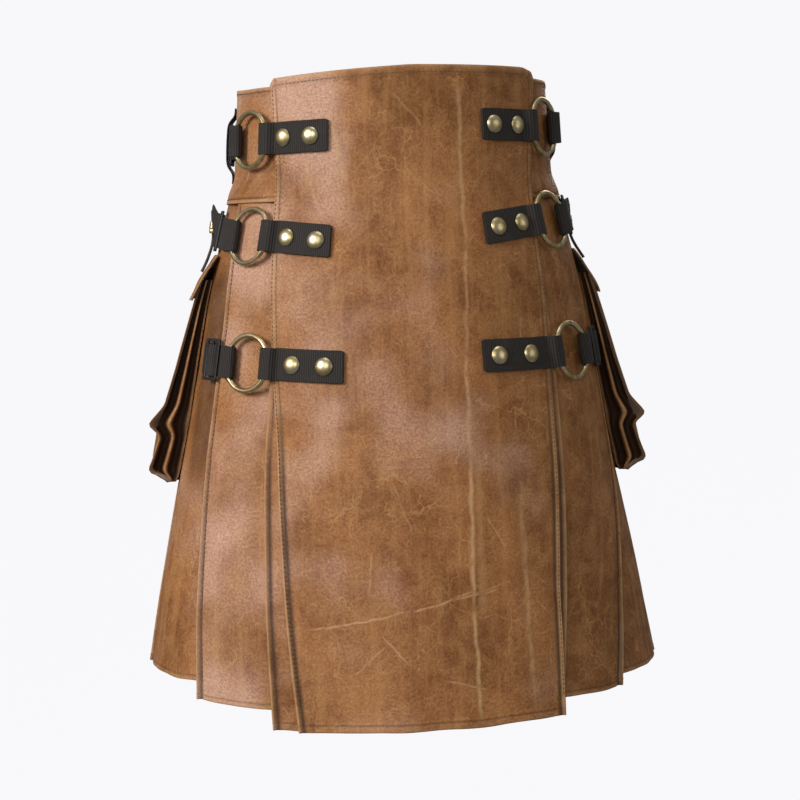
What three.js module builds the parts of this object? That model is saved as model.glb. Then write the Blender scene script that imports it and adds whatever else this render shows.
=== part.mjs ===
// A leather kilt, filled out as worn. Millimetres, +Z up, and the front faces -Y.
// The origin is the middle of the waist opening, level with the top row of straps.
import * as THREE from 'three';

// Driving dimensions
const LEATHER = 1.8;
const WEBBING = 1.4;
const SEAM_GAP = 0.4;
const LAY_GAP = 0.5;
const STRAP_WIDTH = 30;
const RING_RADIUS = 26.5;
const RING_WIRE = 2.5;
const RING_CLEARANCE = 0.3;
const SNAP_RADIUS = 8.5;
const PLEAT_TUCK = 25;
const PLEAT_RETURN = 28;
const CORD_RADIUS = 1.5;

// Heights, from the waist
const APRON_TOP = 54;
const APRON_HEM = -549;
const UNDER_TOP = 44;
const YOKE_TOP = 45;
const YOKE_SEAM = -68;
const FIRST_PLEAT_HEM = -535;
const BACK_PLEAT_HEM = -522;

// The form: half width and half depth of the kilt's body at each height
const FORM = [
  { z: 54, width: 153.5, depth: 126.5 },
  { z: -54, width: 160, depth: 132 },
  { z: -160, width: 185, depth: 157 },
  { z: -211, width: 194, depth: 166 },
  { z: -292, width: 207, depth: 179 },
  { z: -350, width: 219, depth: 191 },
  { z: -474, width: 242, depth: 214 },
  { z: -549, width: 254.5, depth: 226.5 },
];

// Where long edges run: degrees round from the front middle, positive towards +X
const APRON_EDGES = [
  { z: 54, left: -50.3, right: 57 },
  { z: -104, left: -44.4, right: 47.6 },
  { z: -233, left: -38.6, right: 42.6 },
  { z: -304, left: -35, right: 40.2 },
  { z: -435, left: -29.8, right: 34 },
  { z: -549, left: -24.7, right: 31.1 },
];
const UNDER_EDGES = [
  { z: 54, left: -48, right: 55 },
  { z: -104, left: -42.8, right: 46.5 },
  { z: -233, left: -40, right: 46 },
  { z: -304, left: -39.4, right: 43.5 },
  { z: -435, left: -35.1, right: 36.9 },
  { z: -549, left: -30.8, right: 32.4 },
];
const FIRST_FOLD = [
  { z: -68, left: -69, right: 88 },
  { z: -139, left: -65, right: 84 },
  { z: -190, left: -63, right: 81 },
  { z: -269, left: -63.2, right: 77.4 },
  { z: -303, left: -63, right: 75.4 },
  { z: -387, left: -59.6, right: 66.2 },
  { z: -450, left: -57, right: 58.4 },
  { z: -536, left: -52.5, right: 50.8 },
];

// Each fold's share of the way from the first fold to the middle of the back
const FOLD_SHARES = [0, 0.25, 0.45, 0.65, 0.85];

// The fastenings: angles from the front middle, towards the strap's own side. rise is the strap's slope,
// upwards away from the front. reach and tail are how far past the ring's centre the slider's middle
// and the back strap's end lie.
const FASTENINGS = [
  {
    name: 'left_top', side: -1, z: -11, rise: -0.02,
    end: 25.1, snaps: [31.6, 42.6], ring: 60, reach: 79, tail: 111,
  },
  {
    name: 'right_top', side: 1, z: -2, rise: -0.01,
    end: 28.1, snaps: [32.8, 43.6], ring: 61, reach: 84, tail: 116,
  },
  {
    name: 'left_middle', side: -1, z: -103.2, rise: 0.1,
    end: 22.8, snaps: [27.6, 38.1], ring: 54.3, reach: 82.4, tail: 116.4,
  },
  {
    name: 'right_middle', side: 1, z: -92.5, rise: 0.13,
    end: 25.4, snaps: [30.2, 40], ring: 56, reach: 62.6, tail: 96.6,
  },
  {
    name: 'left_low', side: -1, z: -223, rise: 0.04,
    end: 17.5, snaps: [22.8, 32.2], ring: 47.4, reach: 57, tail: 83,
  },
  {
    name: 'right_low', side: 1, z: -218.5, rise: 0,
    end: 20, snaps: [24.7, 35.1], ring: 52.5, reach: 68, tail: 85,
  },
];
const SLIDER = { length: 28, height: 41, bar: 4, thickness: 2.2, corner: 2 };

// The middle row's free tail lifts off the body and ends in a point that carries the lace
const TAIL_TIP = { left: { lift: 21, climb: 22 }, right: { lift: 16, climb: 11 }, half: 3.5 };

// The belt loop's side view: height above its row of straps, and distance of its middle off the body
const BELT_LOOP = [
  { up: 35.5, out: 1.4 },
  { up: 28, out: 2.2 },
  { up: 20, out: 7.4 },
  { up: 9, out: 8.6 },
  { up: -10, out: 8.6 },
  { up: -21, out: 7.4 },
  { up: -30, out: 2.2 },
  { up: -39.5, out: 1.4 },
];
const BELT_LOOP_ANGLE = { left: 95, right: 98 };
const BELT_LOOP_WIDTH = 22;

// The cargo pocket: how far its front stands off its back, in the middle and at its flared corners
const POCKET_MIDDLE = 112;
const POCKET_WIDTH = 168;
const POCKET_WALL = 2;
const POCKET_GAP = 0.9;
const GUSSET_FOLD = 9;
const POCKET = [
  { z: -146, middle: 11, corner: 11 },
  { z: -168, middle: 14, corner: 15 },
  { z: -232, middle: 23, corner: 24 },
  { z: -270, middle: 29, corner: 31 },
  { z: -289, middle: 31, corner: 41 },
  { z: -301, middle: 31, corner: 29 },
  { z: -325, middle: 31, corner: 33 },
  { z: -340, middle: 28, corner: 36 },
  { z: -352, middle: 14, corner: 14 },
];
const FLAP = [
  { z: -121, out: 4.6 },
  { z: -127, out: 7.6 },
  { z: -147, out: 18 },
  { z: -170, out: 27 },
];

// The laces, from the strap's tip down
const LACES = [
  {
    name: 'left',
    points: [
      [-183.1, 29.6, -76.1],
      [-183.1, 29.6, -80],
      [-183.1, 29.6, -85],
      [-183.1, 29.6, -90],
      [-183.1, 29.6, -95],
      [-183.1, 29.6, -100],
      [-183.2, 29.5, -104],
      [-183.8, 29.4, -108],
      [-184.7, 29.2, -112],
      [-185.9, 29, -116],
      [-187.4, 28.8, -120],
      [-189.1, 28.6, -124.5],
      [-191.1, 28.3, -129],
      [-193.3, 28, -133.5],
      [-195.8, 27.7, -138],
    ],
  },
  {
    name: 'right',
    points: [
      [180.4, 13.9, -76.1],
      [180.4, 13.9, -80],
      [180.4, 13.9, -84],
      [180.4, 13.9, -88],
      [180.4, 13.9, -92],
      [180.4, 13.9, -96],
      [180.5, 13.8, -100],
      [181, 13.7, -104],
      [182.1, 13.6, -108],
      [183.7, 13.5, -112],
      [185.7, 13.4, -116],
      [188, 13.2, -120],
      [190.4, 13, -123.7],
      [192.8, 12.8, -127.4],
      [195.2, 12.5, -131],
    ],
  },
];

// The bead on each lace, and how far below the strap's tip it hangs
const BEAD = { below: 11, length: 12, outer: 3.9, neck: 2.9, hole: 1.9 };

// Finishes
const finish = (color, roughness, metalness) => new THREE.MeshStandardMaterial({ color, roughness, metalness });
const leather = finish(0x9a6a42, 0.6, 0);
const leatherInside = finish(0x8a5c38, 0.75, 0);
const webbing = finish(0x1d1c1e, 0.85, 0);
const brass = finish(0x9c8a56, 0.35, 1);
const blackMetal = finish(0x14161a, 0.45, 0.6);
const laceBlack = finish(0x17130f, 0.7, 0);

const kilt = new THREE.Group();

function add(name, geometry, material) {
  const mesh = new THREE.Mesh(geometry, material);
  mesh.name = name;
  kilt.add(mesh);
  return mesh;
}

// A column of a table at a height, straight between its rows
function column(table, z, key) {
  let upper = table[0];
  for (const lower of table) {
    if (lower.z <= z) {
      const span = upper.z - lower.z;
      const share = span > 0 ? Math.min(1, (upper.z - z) / span) : 0;
      return upper[key] + (lower[key] - upper[key]) * share;
    }
    upper = lower;
  }
  return upper[key];
}

const clamp = (value) => Math.min(1, Math.max(0, value));
const radians = (degrees) => (degrees * Math.PI) / 180;

// How far down the kilt a height is, and how far its pleats have opened there
const depthShare = (z) => clamp(-z / -APRON_HEM);
const pleatOpening = (z) => clamp((YOKE_SEAM - z) / (YOKE_SEAM - FIRST_PLEAT_HEM));

// The point at an angle and height, moved out level by a distance
function place(degrees, z, out) {
  const a = column(FORM, z, 'width');
  const b = column(FORM, z, 'depth');
  const t = radians(degrees);
  const normal = new THREE.Vector2(Math.sin(t) / a, -Math.cos(t) / b).normalize();
  return new THREE.Vector3(a * Math.sin(t) + out * normal.x, -b * Math.cos(t) + out * normal.y, z);
}

// Millimetres of the body's girth in one degree
function perDegree(degrees, z) {
  const t = radians(degrees);
  const across = column(FORM, z, 'width') * Math.cos(t);
  const deep = column(FORM, z, 'depth') * Math.sin(t);
  return radians(1) * Math.hypot(across, deep);
}

// The angle a distance round from another one
function walk(degrees, distance, z) {
  const steps = 8;
  let angle = degrees;
  for (let i = 0; i < steps; i += 1) {
    const half = angle + distance / steps / 2 / perDegree(angle, z);
    angle += distance / steps / perDegree(half, z);
  }
  return angle;
}

// The distance round from one angle to another
function girth(from, to, z) {
  const steps = 12;
  let total = 0;
  for (let i = 0; i < steps; i += 1) {
    total += (perDegree(from + ((i + 0.5) * (to - from)) / steps, z) * (to - from)) / steps;
  }
  return total;
}

// The two faces of a wall, half its thickness to each side of its middle line
function faces(line, thickness) {
  const outer = [];
  const inner = [];
  line.forEach((point, i) => {
    const before = line[Math.max(i - 1, 0)];
    const after = line[Math.min(i + 1, line.length - 1)];
    const first = new THREE.Vector2(point.u - before.u, point.n - before.n).normalize();
    const second = new THREE.Vector2(after.u - point.u, after.n - point.n).normalize();
    const along = first.clone().add(second).normalize();
    const bend = Math.max(0.6, Math.max(along.dot(first), along.dot(second)));
    const reach = thickness / 2 / bend;
    outer.push({ ...point, u: point.u - along.y * reach, n: point.n + along.x * reach });
    inner.push({ ...point, u: point.u + along.y * reach, n: point.n - along.x * reach });
  });
  return { outer, inner };
}

// One closed body from numbered vertices and triangles, turned so that its faces point out
function solid(points, triangles) {
  let volume = 0;
  for (let i = 0; i < triangles.length; i += 3) {
    const [a, b, c] = [points[triangles[i]], points[triangles[i + 1]], points[triangles[i + 2]]];
    volume += a.dot(new THREE.Vector3().crossVectors(b, c));
  }
  const order = volume < 0 ? [...triangles].reverse() : triangles;
  const geometry = new THREE.BufferGeometry();
  geometry.setAttribute('position', new THREE.Float32BufferAttribute(points.flatMap((p) => p.toArray()), 3));
  geometry.setIndex(order);
  geometry.computeVertexNormals();
  return geometry;
}

// A wall from stations, each with the points of its outer face and of its inner face
function wall(stations) {
  const count = stations[0].outer.length;
  const points = stations.flatMap(({ outer, inner }) => [...outer, ...inner]);
  const triangles = [];
  const quad = (a, b, c, d) => triangles.push(a, b, c, a, c, d);
  const outerAt = (station, i) => station * 2 * count + i;
  const innerAt = (station, i) => outerAt(station, i) + count;
  const end = count - 1;
  const last = stations.length - 1;
  for (let s = 0; s < last; s += 1) {
    for (let i = 0; i < end; i += 1) {
      quad(outerAt(s, i), outerAt(s, i + 1), outerAt(s + 1, i + 1), outerAt(s + 1, i));
      quad(innerAt(s, i + 1), innerAt(s, i), innerAt(s + 1, i), innerAt(s + 1, i + 1));
    }
    quad(innerAt(s, 0), outerAt(s, 0), outerAt(s + 1, 0), innerAt(s + 1, 0));
    quad(outerAt(s, end), innerAt(s, end), innerAt(s + 1, end), outerAt(s + 1, end));
  }
  for (let i = 0; i < end; i += 1) {
    quad(innerAt(0, i), innerAt(0, i + 1), outerAt(0, i + 1), outerAt(0, i));
    quad(outerAt(last, i), outerAt(last, i + 1), innerAt(last, i + 1), innerAt(last, i));
  }
  return solid(points, triangles);
}

// The heights of a panel's stations: its top, its hem and the form's heights between
function heights(top, hem) {
  const between = [0, -54, -108, -160, -211, -292, -350, -474].filter((z) => z < top - 8 && z > hem + 8);
  return [top, ...between, hem];
}

// Leather that lies off the form by out(z), with long edges that curl outwards by curl(z)
function sheet({ top, hem, edges, out, curl }) {
  const columns = 16;
  const shares = [0, 0.022];
  for (let i = 1; i < columns; i += 1) {
    shares.push(i / columns);
  }
  shares.push(0.978, 1);
  return wall(heights(top, hem).map((z) => {
    const left = column(edges, z, 'left');
    const right = column(edges, z, 'right');
    const face = (side) => shares.map((share) => {
      const atEdge = share === 0 || share === 1;
      const away = out(z) + (atEdge ? curl(z) : 0) + side * (LEATHER / 2);
      return place(left + (right - left) * share, z, away);
    });
    return { outer: face(1), inner: face(-1) };
  }));
}

const underOut = (z) => 1.4 + 2.2 * depthShare(z);
const apronOut = (z) => 3.7 + 3.3 * depthShare(z);
const edgeCurl = (z) => 2.2 * clamp((-250 - z) / 300);

const frontCut = { top: APRON_TOP, hem: APRON_HEM, edges: APRON_EDGES, out: apronOut, curl: edgeCurl };
const underCut = { top: UNDER_TOP, hem: APRON_HEM, edges: UNDER_EDGES, out: underOut, curl: edgeCurl };
add('apron_front', sheet(frontCut), leather);
add('apron_under', sheet(underCut), leather);

// The yoke runs from under one side of the aprons round the back to the other
function yoke() {
  const tucked = 40;
  const columns = 36;
  const spread = 360 - 2 * tucked;
  const angles = Array.from({ length: columns + 1 }, (_, i) => tucked + (spread * i) / columns);
  return wall([YOKE_TOP, 0, -54, YOKE_SEAM].map((z) => {
    const face = (out) => angles.map((angle) => place(angle, z, out));
    return { outer: face(0), inner: face(-LEATHER) };
  }));
}
add('yoke', yoke(), leather);

// The distance of a fold's ridge off the form
const foldOut = (z) => 1.5 + 2.5 * pleatOpening(z);
const ridge = (z) => 0.3 + 1.2 * pleatOpening(z);
const foldFace = (z) => foldOut(z) + ridge(z) + LEATHER / 2;
const tuckDepth = (z) => foldOut(z) - 5.9 - 5 * pleatOpening(z);

// The angle of a fold, towards its own side and so always positive
function foldAngle(index, side, z) {
  const first = Math.abs(column(FIRST_FOLD, z, side < 0 ? 'left' : 'right'));
  return first + (180 - first) * FOLD_SHARES[index];
}

// The middle line of a pleat across its width: under the one before, up to its fold, and back under
function pleatLine(width, front, z) {
  const fold = foldOut(z);
  const top = fold + ridge(z);
  const back = PLEAT_RETURN - 2 * pleatOpening(z);
  const clear = PLEAT_TUCK + 5;
  const line = [
    { u: -width, n: front },
    { u: -width + clear, n: front + 0.3 },
  ];
  for (const share of [0.35, 0.7]) {
    const eased = share * (2 - share);
    line.push({ u: -width + clear + (width - clear - 9) * share, n: front + 0.3 + (fold - front - 0.3) * eased });
  }
  line.push({ u: -9, n: fold });
  line.push({ u: -2, n: top });
  line.push({ u: 0.3, n: top - 1.35 });
  line.push({ u: -2, n: top - 2.7 });
  line.push({ u: -9, n: fold - 2.7 });
  line.push({ u: -back, n: fold - 3 - pleatOpening(z) });
  return line;
}

function pleat(index, side) {
  const hem = index === 0 ? FIRST_PLEAT_HEM : BACK_PLEAT_HEM;
  return wall(heights(YOKE_SEAM - SEAM_GAP, hem).map((z) => {
    const fold = foldAngle(index, side, z);
    const underEdge = Math.abs(column(UNDER_EDGES, z, side < 0 ? 'left' : 'right'));
    const before = index === 0 ? underEdge : foldAngle(index - 1, side, z);
    const front = index === 0 ? -1.5 - 2 * pleatOpening(z) : tuckDepth(z);
    const width = girth(before, fold, z) + PLEAT_TUCK;
    const { outer, inner } = faces(pleatLine(width, front, z), LEATHER);
    const lay = ({ u, n }) => place(side * walk(fold, u, z), z, n);
    return { outer: outer.map(lay), inner: inner.map(lay) };
  }));
}

[-1, 1].forEach((side) => {
  FOLD_SHARES.forEach((_, index) => {
    add(`pleat_${side < 0 ? 'left' : 'right'}_${index + 1}`, pleat(index, side), leather);
  });
});

// The centre back panel lies under the last fold of each side
function backPanel() {
  const last = FOLD_SHARES.length - 1;
  const columns = 10;
  return wall(heights(YOKE_SEAM - SEAM_GAP, BACK_PLEAT_HEM).map((z) => {
    const from = walk(foldAngle(last, 1, z), -PLEAT_TUCK, z);
    const to = 360 - walk(foldAngle(last, -1, z), -PLEAT_TUCK, z);
    const angles = Array.from({ length: columns + 1 }, (_, i) => from + ((to - from) * i) / columns);
    const face = (out) => angles.map((angle) => place(angle, z, out));
    return { outer: face(tuckDepth(z) + LEATHER / 2), inner: face(tuckDepth(z) - LEATHER / 2) };
  }));
}
add('pleat_back', backPanel(), leather);

// The directions at a point of the body: round it, up it and straight out of it
function frameAt(degrees, z, out) {
  const step = 0.5;
  const round = place(degrees + step, z, out).sub(place(degrees - step, z, out)).normalize();
  const slope = place(degrees, z + 4, out).sub(place(degrees, z - 4, out));
  const normal = new THREE.Vector3().crossVectors(round, slope).normalize();
  const up = new THREE.Vector3().crossVectors(normal, round);
  return { origin: place(degrees, z, out), round, up, normal };
}

// Sets a mesh on the body: its X runs round, its Y up the body and its Z straight out
function setOn(mesh, degrees, z, out) {
  const { origin, round, up, normal } = frameAt(degrees, z, out);
  mesh.quaternion.setFromRotationMatrix(new THREE.Matrix4().makeBasis(round, up, normal));
  mesh.position.copy(origin);
}

// How far off the body the ring's wire runs at each side of the ring, and at its middle
const apronFace = (z) => apronOut(z) + LEATHER / 2;
const wireAway = (z) => apronFace(z) + LAY_GAP + WEBBING + RING_CLEARANCE + RING_WIRE + 0.7;
function ringAway({ ring, z }) {
  const a = column(FORM, z, 'width');
  const b = column(FORM, z, 'depth');
  const bend = (perDegree(ring, z) / radians(1)) ** 3 / (a * b) + wireAway(z);
  return wireAway(z) - RING_RADIUS ** 2 / (2 * bend);
}

// A flat strip of webbing from its side view: a line of points, each a distance round from the ring's
// centre and a distance out. Points held by the ring are measured in the ring's own flat plane.
function strip(fastening, line, thickness) {
  const { side, z, ring, rise } = fastening;
  const plane = frameAt(side * ring, z, ringAway(fastening));
  const { outer, inner } = faces(line, thickness);
  const lay = (edge) => ({ u, n, half = STRAP_WIDTH / 2, climb = 0, held = false }) => {
    const pastRing = Math.max(0, Math.abs(u) - RING_RADIUS) * Math.sign(u);
    const height = rise * pastRing + climb + edge * half;
    if (held) {
      const point = plane.origin.clone().addScaledVector(plane.round, side * u);
      return point.addScaledVector(plane.normal, n - wireAway(z)).addScaledVector(plane.up, height);
    }
    return place(side * walk(ring, u, z), z + height, n);
  };
  return wall([1, -1].map((edge) => ({ outer: outer.map(lay(edge)), inner: inner.map(lay(edge)) })));
}

// The webbing's turn round the ring's wire, from its lower layer to its upper one
function turnRound(wireOut) {
  const inside = RING_RADIUS - 5.6;
  const radius = RING_WIRE + RING_CLEARANCE + WEBBING / 2;
  const turn = [{ u: -RING_RADIUS - 3.5, n: wireOut - radius, held: true }];
  for (let i = 0; i <= 4; i += 1) {
    const angle = -Math.PI / 2 + (Math.PI * i) / 4;
    turn.push({ u: -inside + radius * Math.cos(angle), n: wireOut + radius * Math.sin(angle), held: true });
  }
  turn.push({ u: -RING_RADIUS - 3.5, n: wireOut + radius, held: true });
  return turn;
}

function frontStrap(fastening) {
  const { z, end, ring } = fastening;
  const low = apronFace(z) + LAY_GAP + WEBBING / 2;
  const high = low + WEBBING + RING_CLEARANCE;
  const inner = -girth(end, ring, z);
  const nearRing = -RING_RADIUS - 8;
  const runs = 5;
  const flat = Array.from({ length: runs + 1 }, (_, i) => inner + ((nearRing - inner) * i) / runs);
  const lower = flat.map((u) => ({ u, n: low }));
  const upper = flat.map((u) => ({ u, n: high })).reverse();
  return strip(fastening, [...lower, ...turnRound(wireAway(z)), ...upper], WEBBING);
}

// What the back strap lies on: the yoke in the top row, the pleats' folds in the others
const backFace = (z) => (z > YOKE_SEAM ? 0 : foldFace(z));

function backStrap(fastening) {
  const { z, reach, tail, side, name } = fastening;
  const low = backFace(z) + LAY_GAP + WEBBING / 2;
  const high = low + WEBBING + RING_CLEARANCE;
  const over = SLIDER.thickness + WEBBING + 1;
  const { length, bar } = SLIDER;
  const edge = length / 2 - bar;
  const doubled = reach - length / 2 - 3;
  const between = (36 + doubled) / 2;
  const line = [{ u: doubled, n: low }, { u: between, n: low }, { u: 36, n: low }];
  turnRound(wireAway(z)).forEach((point) => line.push({ ...point, u: -point.u }));
  line.push({ u: 36, n: high }, { u: between, n: high }, { u: doubled, n: high });
  line.push({ u: reach - edge + 1, n: low + 0.2 });
  line.push({ u: reach - 4, n: low + over });
  line.push({ u: reach + 4, n: low + over });
  line.push({ u: reach + edge - 1, n: low + 0.2 });
  line.push({ u: reach + length / 2 + 2.5, n: low });
  if (name.endsWith('middle')) {
    const { lift, climb } = TAIL_TIP[side < 0 ? 'left' : 'right'];
    const middle = (reach + length / 2 + tail) / 2;
    line.push({ u: middle, n: low + 0.4 * lift, half: 10, climb: 0.3 * climb });
    line.push({ u: tail, n: lift, half: TAIL_TIP.half, climb });
  } else {
    line.push({ u: tail, n: low });
  }
  return strip(fastening, line.reverse(), WEBBING);
}

// A three-bar slider with cut corners. Its second window is a little shorter than its first.
function sliderFrame() {
  const { length, height, bar, thickness, corner } = SLIDER;
  const outline = (path, points) => {
    points.forEach(([x, y], i) => (i === 0 ? path.moveTo(x, y) : path.lineTo(x, y)));
    return path;
  };
  const [x, y] = [length / 2, height / 2];
  const frame = outline(new THREE.Shape(), [
    [-x + corner, -y], [x - corner, -y], [x, -y + corner], [x, y - corner],
    [x - corner, y], [-x + corner, y], [-x, y - corner], [-x, -y + corner],
  ]);
  const window = (left, tall) => {
    const right = left + (length - 3 * bar) / 2;
    return outline(new THREE.Path(), [[left, -tall], [right, -tall], [right, tall], [left, tall]]);
  };
  const tall = y - bar + 1;
  frame.holes.push(window(-x + bar, tall), window(bar / 2, tall - 0.1));
  return new THREE.ExtrudeGeometry(frame, { depth: thickness, bevelEnabled: false });
}

function snapCap() {
  const profile = [[0, 0], [SNAP_RADIUS, 0], [SNAP_RADIUS, 1.2], [SNAP_RADIUS - 2.2, 2.3], [0, 3.1]];
  const cap = new THREE.LatheGeometry(profile.map(([r, h]) => new THREE.Vector2(r, h)), 12);
  return cap.rotateX(Math.PI / 2);
}

FASTENINGS.forEach((fastening) => {
  const { name, side, z, ring, rise, reach, snaps } = fastening;
  add(`strap_front_${name}`, frontStrap(fastening), webbing);
  add(`strap_back_${name}`, backStrap(fastening), webbing);
  const torus = new THREE.TorusGeometry(RING_RADIUS, RING_WIRE, 6, 20);
  setOn(add(`ring_${name}`, torus, brass), side * ring, z, ringAway(fastening));
  const sliderMesh = add(`slider_${name}`, sliderFrame(), blackMetal);
  const sliderOut = backFace(z) + LAY_GAP + WEBBING + 0.5;
  const sliderHeight = z + rise * (reach - RING_RADIUS);
  setOn(sliderMesh, side * walk(ring, reach, z), sliderHeight, sliderOut);
  snaps.forEach((angle, i) => {
    const height = z - rise * (girth(angle, ring, z) - RING_RADIUS);
    const top = apronFace(z) + LAY_GAP + 2 * WEBBING + RING_CLEARANCE;
    setOn(add(`snap_${name}_${i + 1}`, snapCap(), brass), side * angle, height, top + 0.45);
  });
});

// A vertical strip of webbing, bowed out over the top row's back strap
function beltLoop(side) {
  const { z } = FASTENINGS[side < 0 ? 0 : 1];
  const middle = BELT_LOOP_ANGLE[side < 0 ? 'left' : 'right'];
  const line = BELT_LOOP.map(({ up, out }) => ({ u: up, n: out }));
  const { outer, inner } = faces(line, WEBBING);
  return wall([-1, 0, 1].map((share) => {
    const lay = ({ u, n }) => {
      const height = z + u;
      return place(side * walk(middle, (share * BELT_LOOP_WIDTH) / 2, height), height, n);
    };
    return { outer: outer.map(lay), inner: inner.map(lay) };
  }));
}
add('belt_loop_left', beltLoop(-1), webbing);
add('belt_loop_right', beltLoop(1), webbing);

// The pocket's section at a height, as a closed ring of points, drawn in by inset all round
function pocketRing(side, row, inset) {
  const { z, middle, corner } = row;
  const half = POCKET_WIDTH / 2 - inset;
  const back = foldFace(z) + POCKET_GAP + inset;
  const front = (share) => foldFace(z) + POCKET_GAP + (Math.abs(share) === 1 ? corner : middle) - inset;
  const shares = [-1, -0.75, -0.5, -0.25, 0, 0.25, 0.5, 0.75, 1];
  const points = shares.map((share) => ({ u: share * half, n: back }));
  points.push({ u: half - GUSSET_FOLD * clamp(corner / 20), n: (back + front(1)) / 2 });
  [...shares].reverse().forEach((share) => points.push({ u: share * half, n: front(share) }));
  points.push({ u: -half + GUSSET_FOLD * clamp(corner / 20), n: (back + front(-1)) / 2 });
  return points.map(({ u, n }) => place(side * walk(POCKET_MIDDLE, u, z), z, n));
}

// The bag: an outer skin down to its bottom, an inner skin down to just above it, joined at the mouth
function pocketBag(side) {
  const rows = POCKET;
  const lastInner = { ...rows[rows.length - 1], z: rows[rows.length - 1].z + 2 * POCKET_WALL };
  const innerRows = [...rows.slice(0, -1), lastInner];
  const outer = rows.map((row) => pocketRing(side, row, 0));
  const inner = innerRows.map((row) => pocketRing(side, row, POCKET_WALL));
  const count = outer[0].length;
  const points = [...outer.flat(), ...inner.flat()];
  const triangles = [];
  const quad = (a, b, c, d) => triangles.push(a, b, c, a, c, d);
  const outerAt = (row, i) => row * count + (i % count);
  const innerAt = (row, i) => (rows.length + row) * count + (i % count);
  for (let row = 0; row < rows.length - 1; row += 1) {
    for (let i = 0; i < count; i += 1) {
      quad(outerAt(row, i), outerAt(row, i + 1), outerAt(row + 1, i + 1), outerAt(row + 1, i));
      quad(innerAt(row, i + 1), innerAt(row, i), innerAt(row + 1, i), innerAt(row + 1, i + 1));
    }
  }
  for (let i = 0; i < count; i += 1) {
    quad(outerAt(0, i), innerAt(0, i), innerAt(0, i + 1), outerAt(0, i + 1));
  }
  const last = rows.length - 1;
  const columns = 9;
  const floor = (at, turned) => {
    const ringBack = (i) => at(last, i);
    const ringFront = (i) => at(last, 2 * columns - i);
    const put = (a, b, c, d) => (turned ? quad(d, c, b, a) : quad(a, b, c, d));
    for (let i = 0; i < columns - 1; i += 1) {
      put(ringBack(i), ringBack(i + 1), ringFront(i + 1), ringFront(i));
    }
    const sideTriangle = (a, b, c) => (turned ? triangles.push(c, b, a) : triangles.push(a, b, c));
    sideTriangle(ringBack(columns - 1), at(last, columns), ringFront(columns - 1));
    sideTriangle(ringFront(0), at(last, 2 * columns + 1), ringBack(0));
  };
  floor(outerAt, false);
  floor(innerAt, true);
  return solid(points, triangles);
}

function pocketFlap(side) {
  const half = POCKET_WIDTH / 2 + 3;
  const columns = 8;
  const { outer, inner } = faces(FLAP.map(({ z, out }) => ({ u: z, n: out })), LEATHER);
  return wall(Array.from({ length: columns + 1 }, (_, i) => {
    const along = -half + (2 * half * i) / columns;
    const lay = ({ u, n }) => place(side * walk(POCKET_MIDDLE, along, u), u, n);
    return { outer: outer.map(lay), inner: inner.map(lay) };
  }));
}

[-1, 1].forEach((side) => {
  const name = side < 0 ? 'left' : 'right';
  add(`pocket_${name}`, pocketBag(side), leather);
  add(`pocket_flap_${name}`, pocketFlap(side), leatherInside);
});

function cord(points) {
  const sides = 8;
  const section = new THREE.Shape();
  for (let i = 0; i < sides; i += 1) {
    const angle = (2 * Math.PI * i) / sides;
    const [x, y] = [CORD_RADIUS * Math.cos(angle), CORD_RADIUS * Math.sin(angle)];
    i === 0 ? section.moveTo(x, y) : section.lineTo(x, y);
  }
  const extrudePath = new THREE.CatmullRomCurve3(points.map((p) => new THREE.Vector3(...p)));
  return new THREE.ExtrudeGeometry(section, { steps: 10, extrudePath, bevelEnabled: false });
}

function bead() {
  const { length, outer, neck, hole } = BEAD;
  const profile = [[hole, 0], [outer, 0], [outer, length * 0.45], [neck, length], [hole, length], [hole, 0]];
  return new THREE.LatheGeometry(profile.map(([r, h]) => new THREE.Vector2(r, h)), 10).rotateX(Math.PI / 2);
}

LACES.forEach(({ name, points }) => {
  add(`lace_${name}`, cord(points), laceBlack);
  const [x, y, top] = points[0];
  add(`bead_${name}`, bead(), brass).position.set(x, y, top - BEAD.below - BEAD.length);
});

export default kilt;
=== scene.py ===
"""A distressed leather kilt, filled out as worn: aprons, yoke, pleats, straps and cargo pockets."""

import math

import bmesh
import bpy
from mathutils import Matrix, Quaternion, Vector, noise


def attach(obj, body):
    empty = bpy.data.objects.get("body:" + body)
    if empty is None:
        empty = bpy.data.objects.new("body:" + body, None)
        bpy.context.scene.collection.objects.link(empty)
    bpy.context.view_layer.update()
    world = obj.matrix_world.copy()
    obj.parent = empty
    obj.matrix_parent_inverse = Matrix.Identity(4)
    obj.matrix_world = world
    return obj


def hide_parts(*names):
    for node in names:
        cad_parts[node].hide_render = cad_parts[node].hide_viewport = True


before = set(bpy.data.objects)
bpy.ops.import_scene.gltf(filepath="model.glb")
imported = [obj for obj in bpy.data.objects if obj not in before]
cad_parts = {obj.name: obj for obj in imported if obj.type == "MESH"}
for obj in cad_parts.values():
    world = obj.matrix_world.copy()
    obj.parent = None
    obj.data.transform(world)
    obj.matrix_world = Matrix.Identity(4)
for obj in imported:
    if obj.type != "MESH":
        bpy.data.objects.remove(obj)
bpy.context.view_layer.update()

# Driving sizes, in millimetres
MM = 0.001
LEATHER = 1.8
WEBBING = 1.4
LAY_GAP = 0.5
STRAP_WIDTH = 30
RING_RADIUS = 26.5
RING_WIRE = 2.5
RING_CLEARANCE = 0.3
SNAP_RADIUS = 8.5
PLEAT_TUCK = 25
CORD_RADIUS = 1.5
APRON_TOP = 54
APRON_HEM = -549
UNDER_TOP = 44
YOKE_TOP = 45
YOKE_SEAM = -68
FIRST_PLEAT_HEM = -535
BACK_PLEAT_HEM = -522
HEM_BAND = 8
STITCH_PITCH = 4.2

# Leather runs this much longer down its slope than its fall in height
DOWN_THE_SLOPE = 1.02
SIGN = {-1: "left", 1: "right"}

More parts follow.
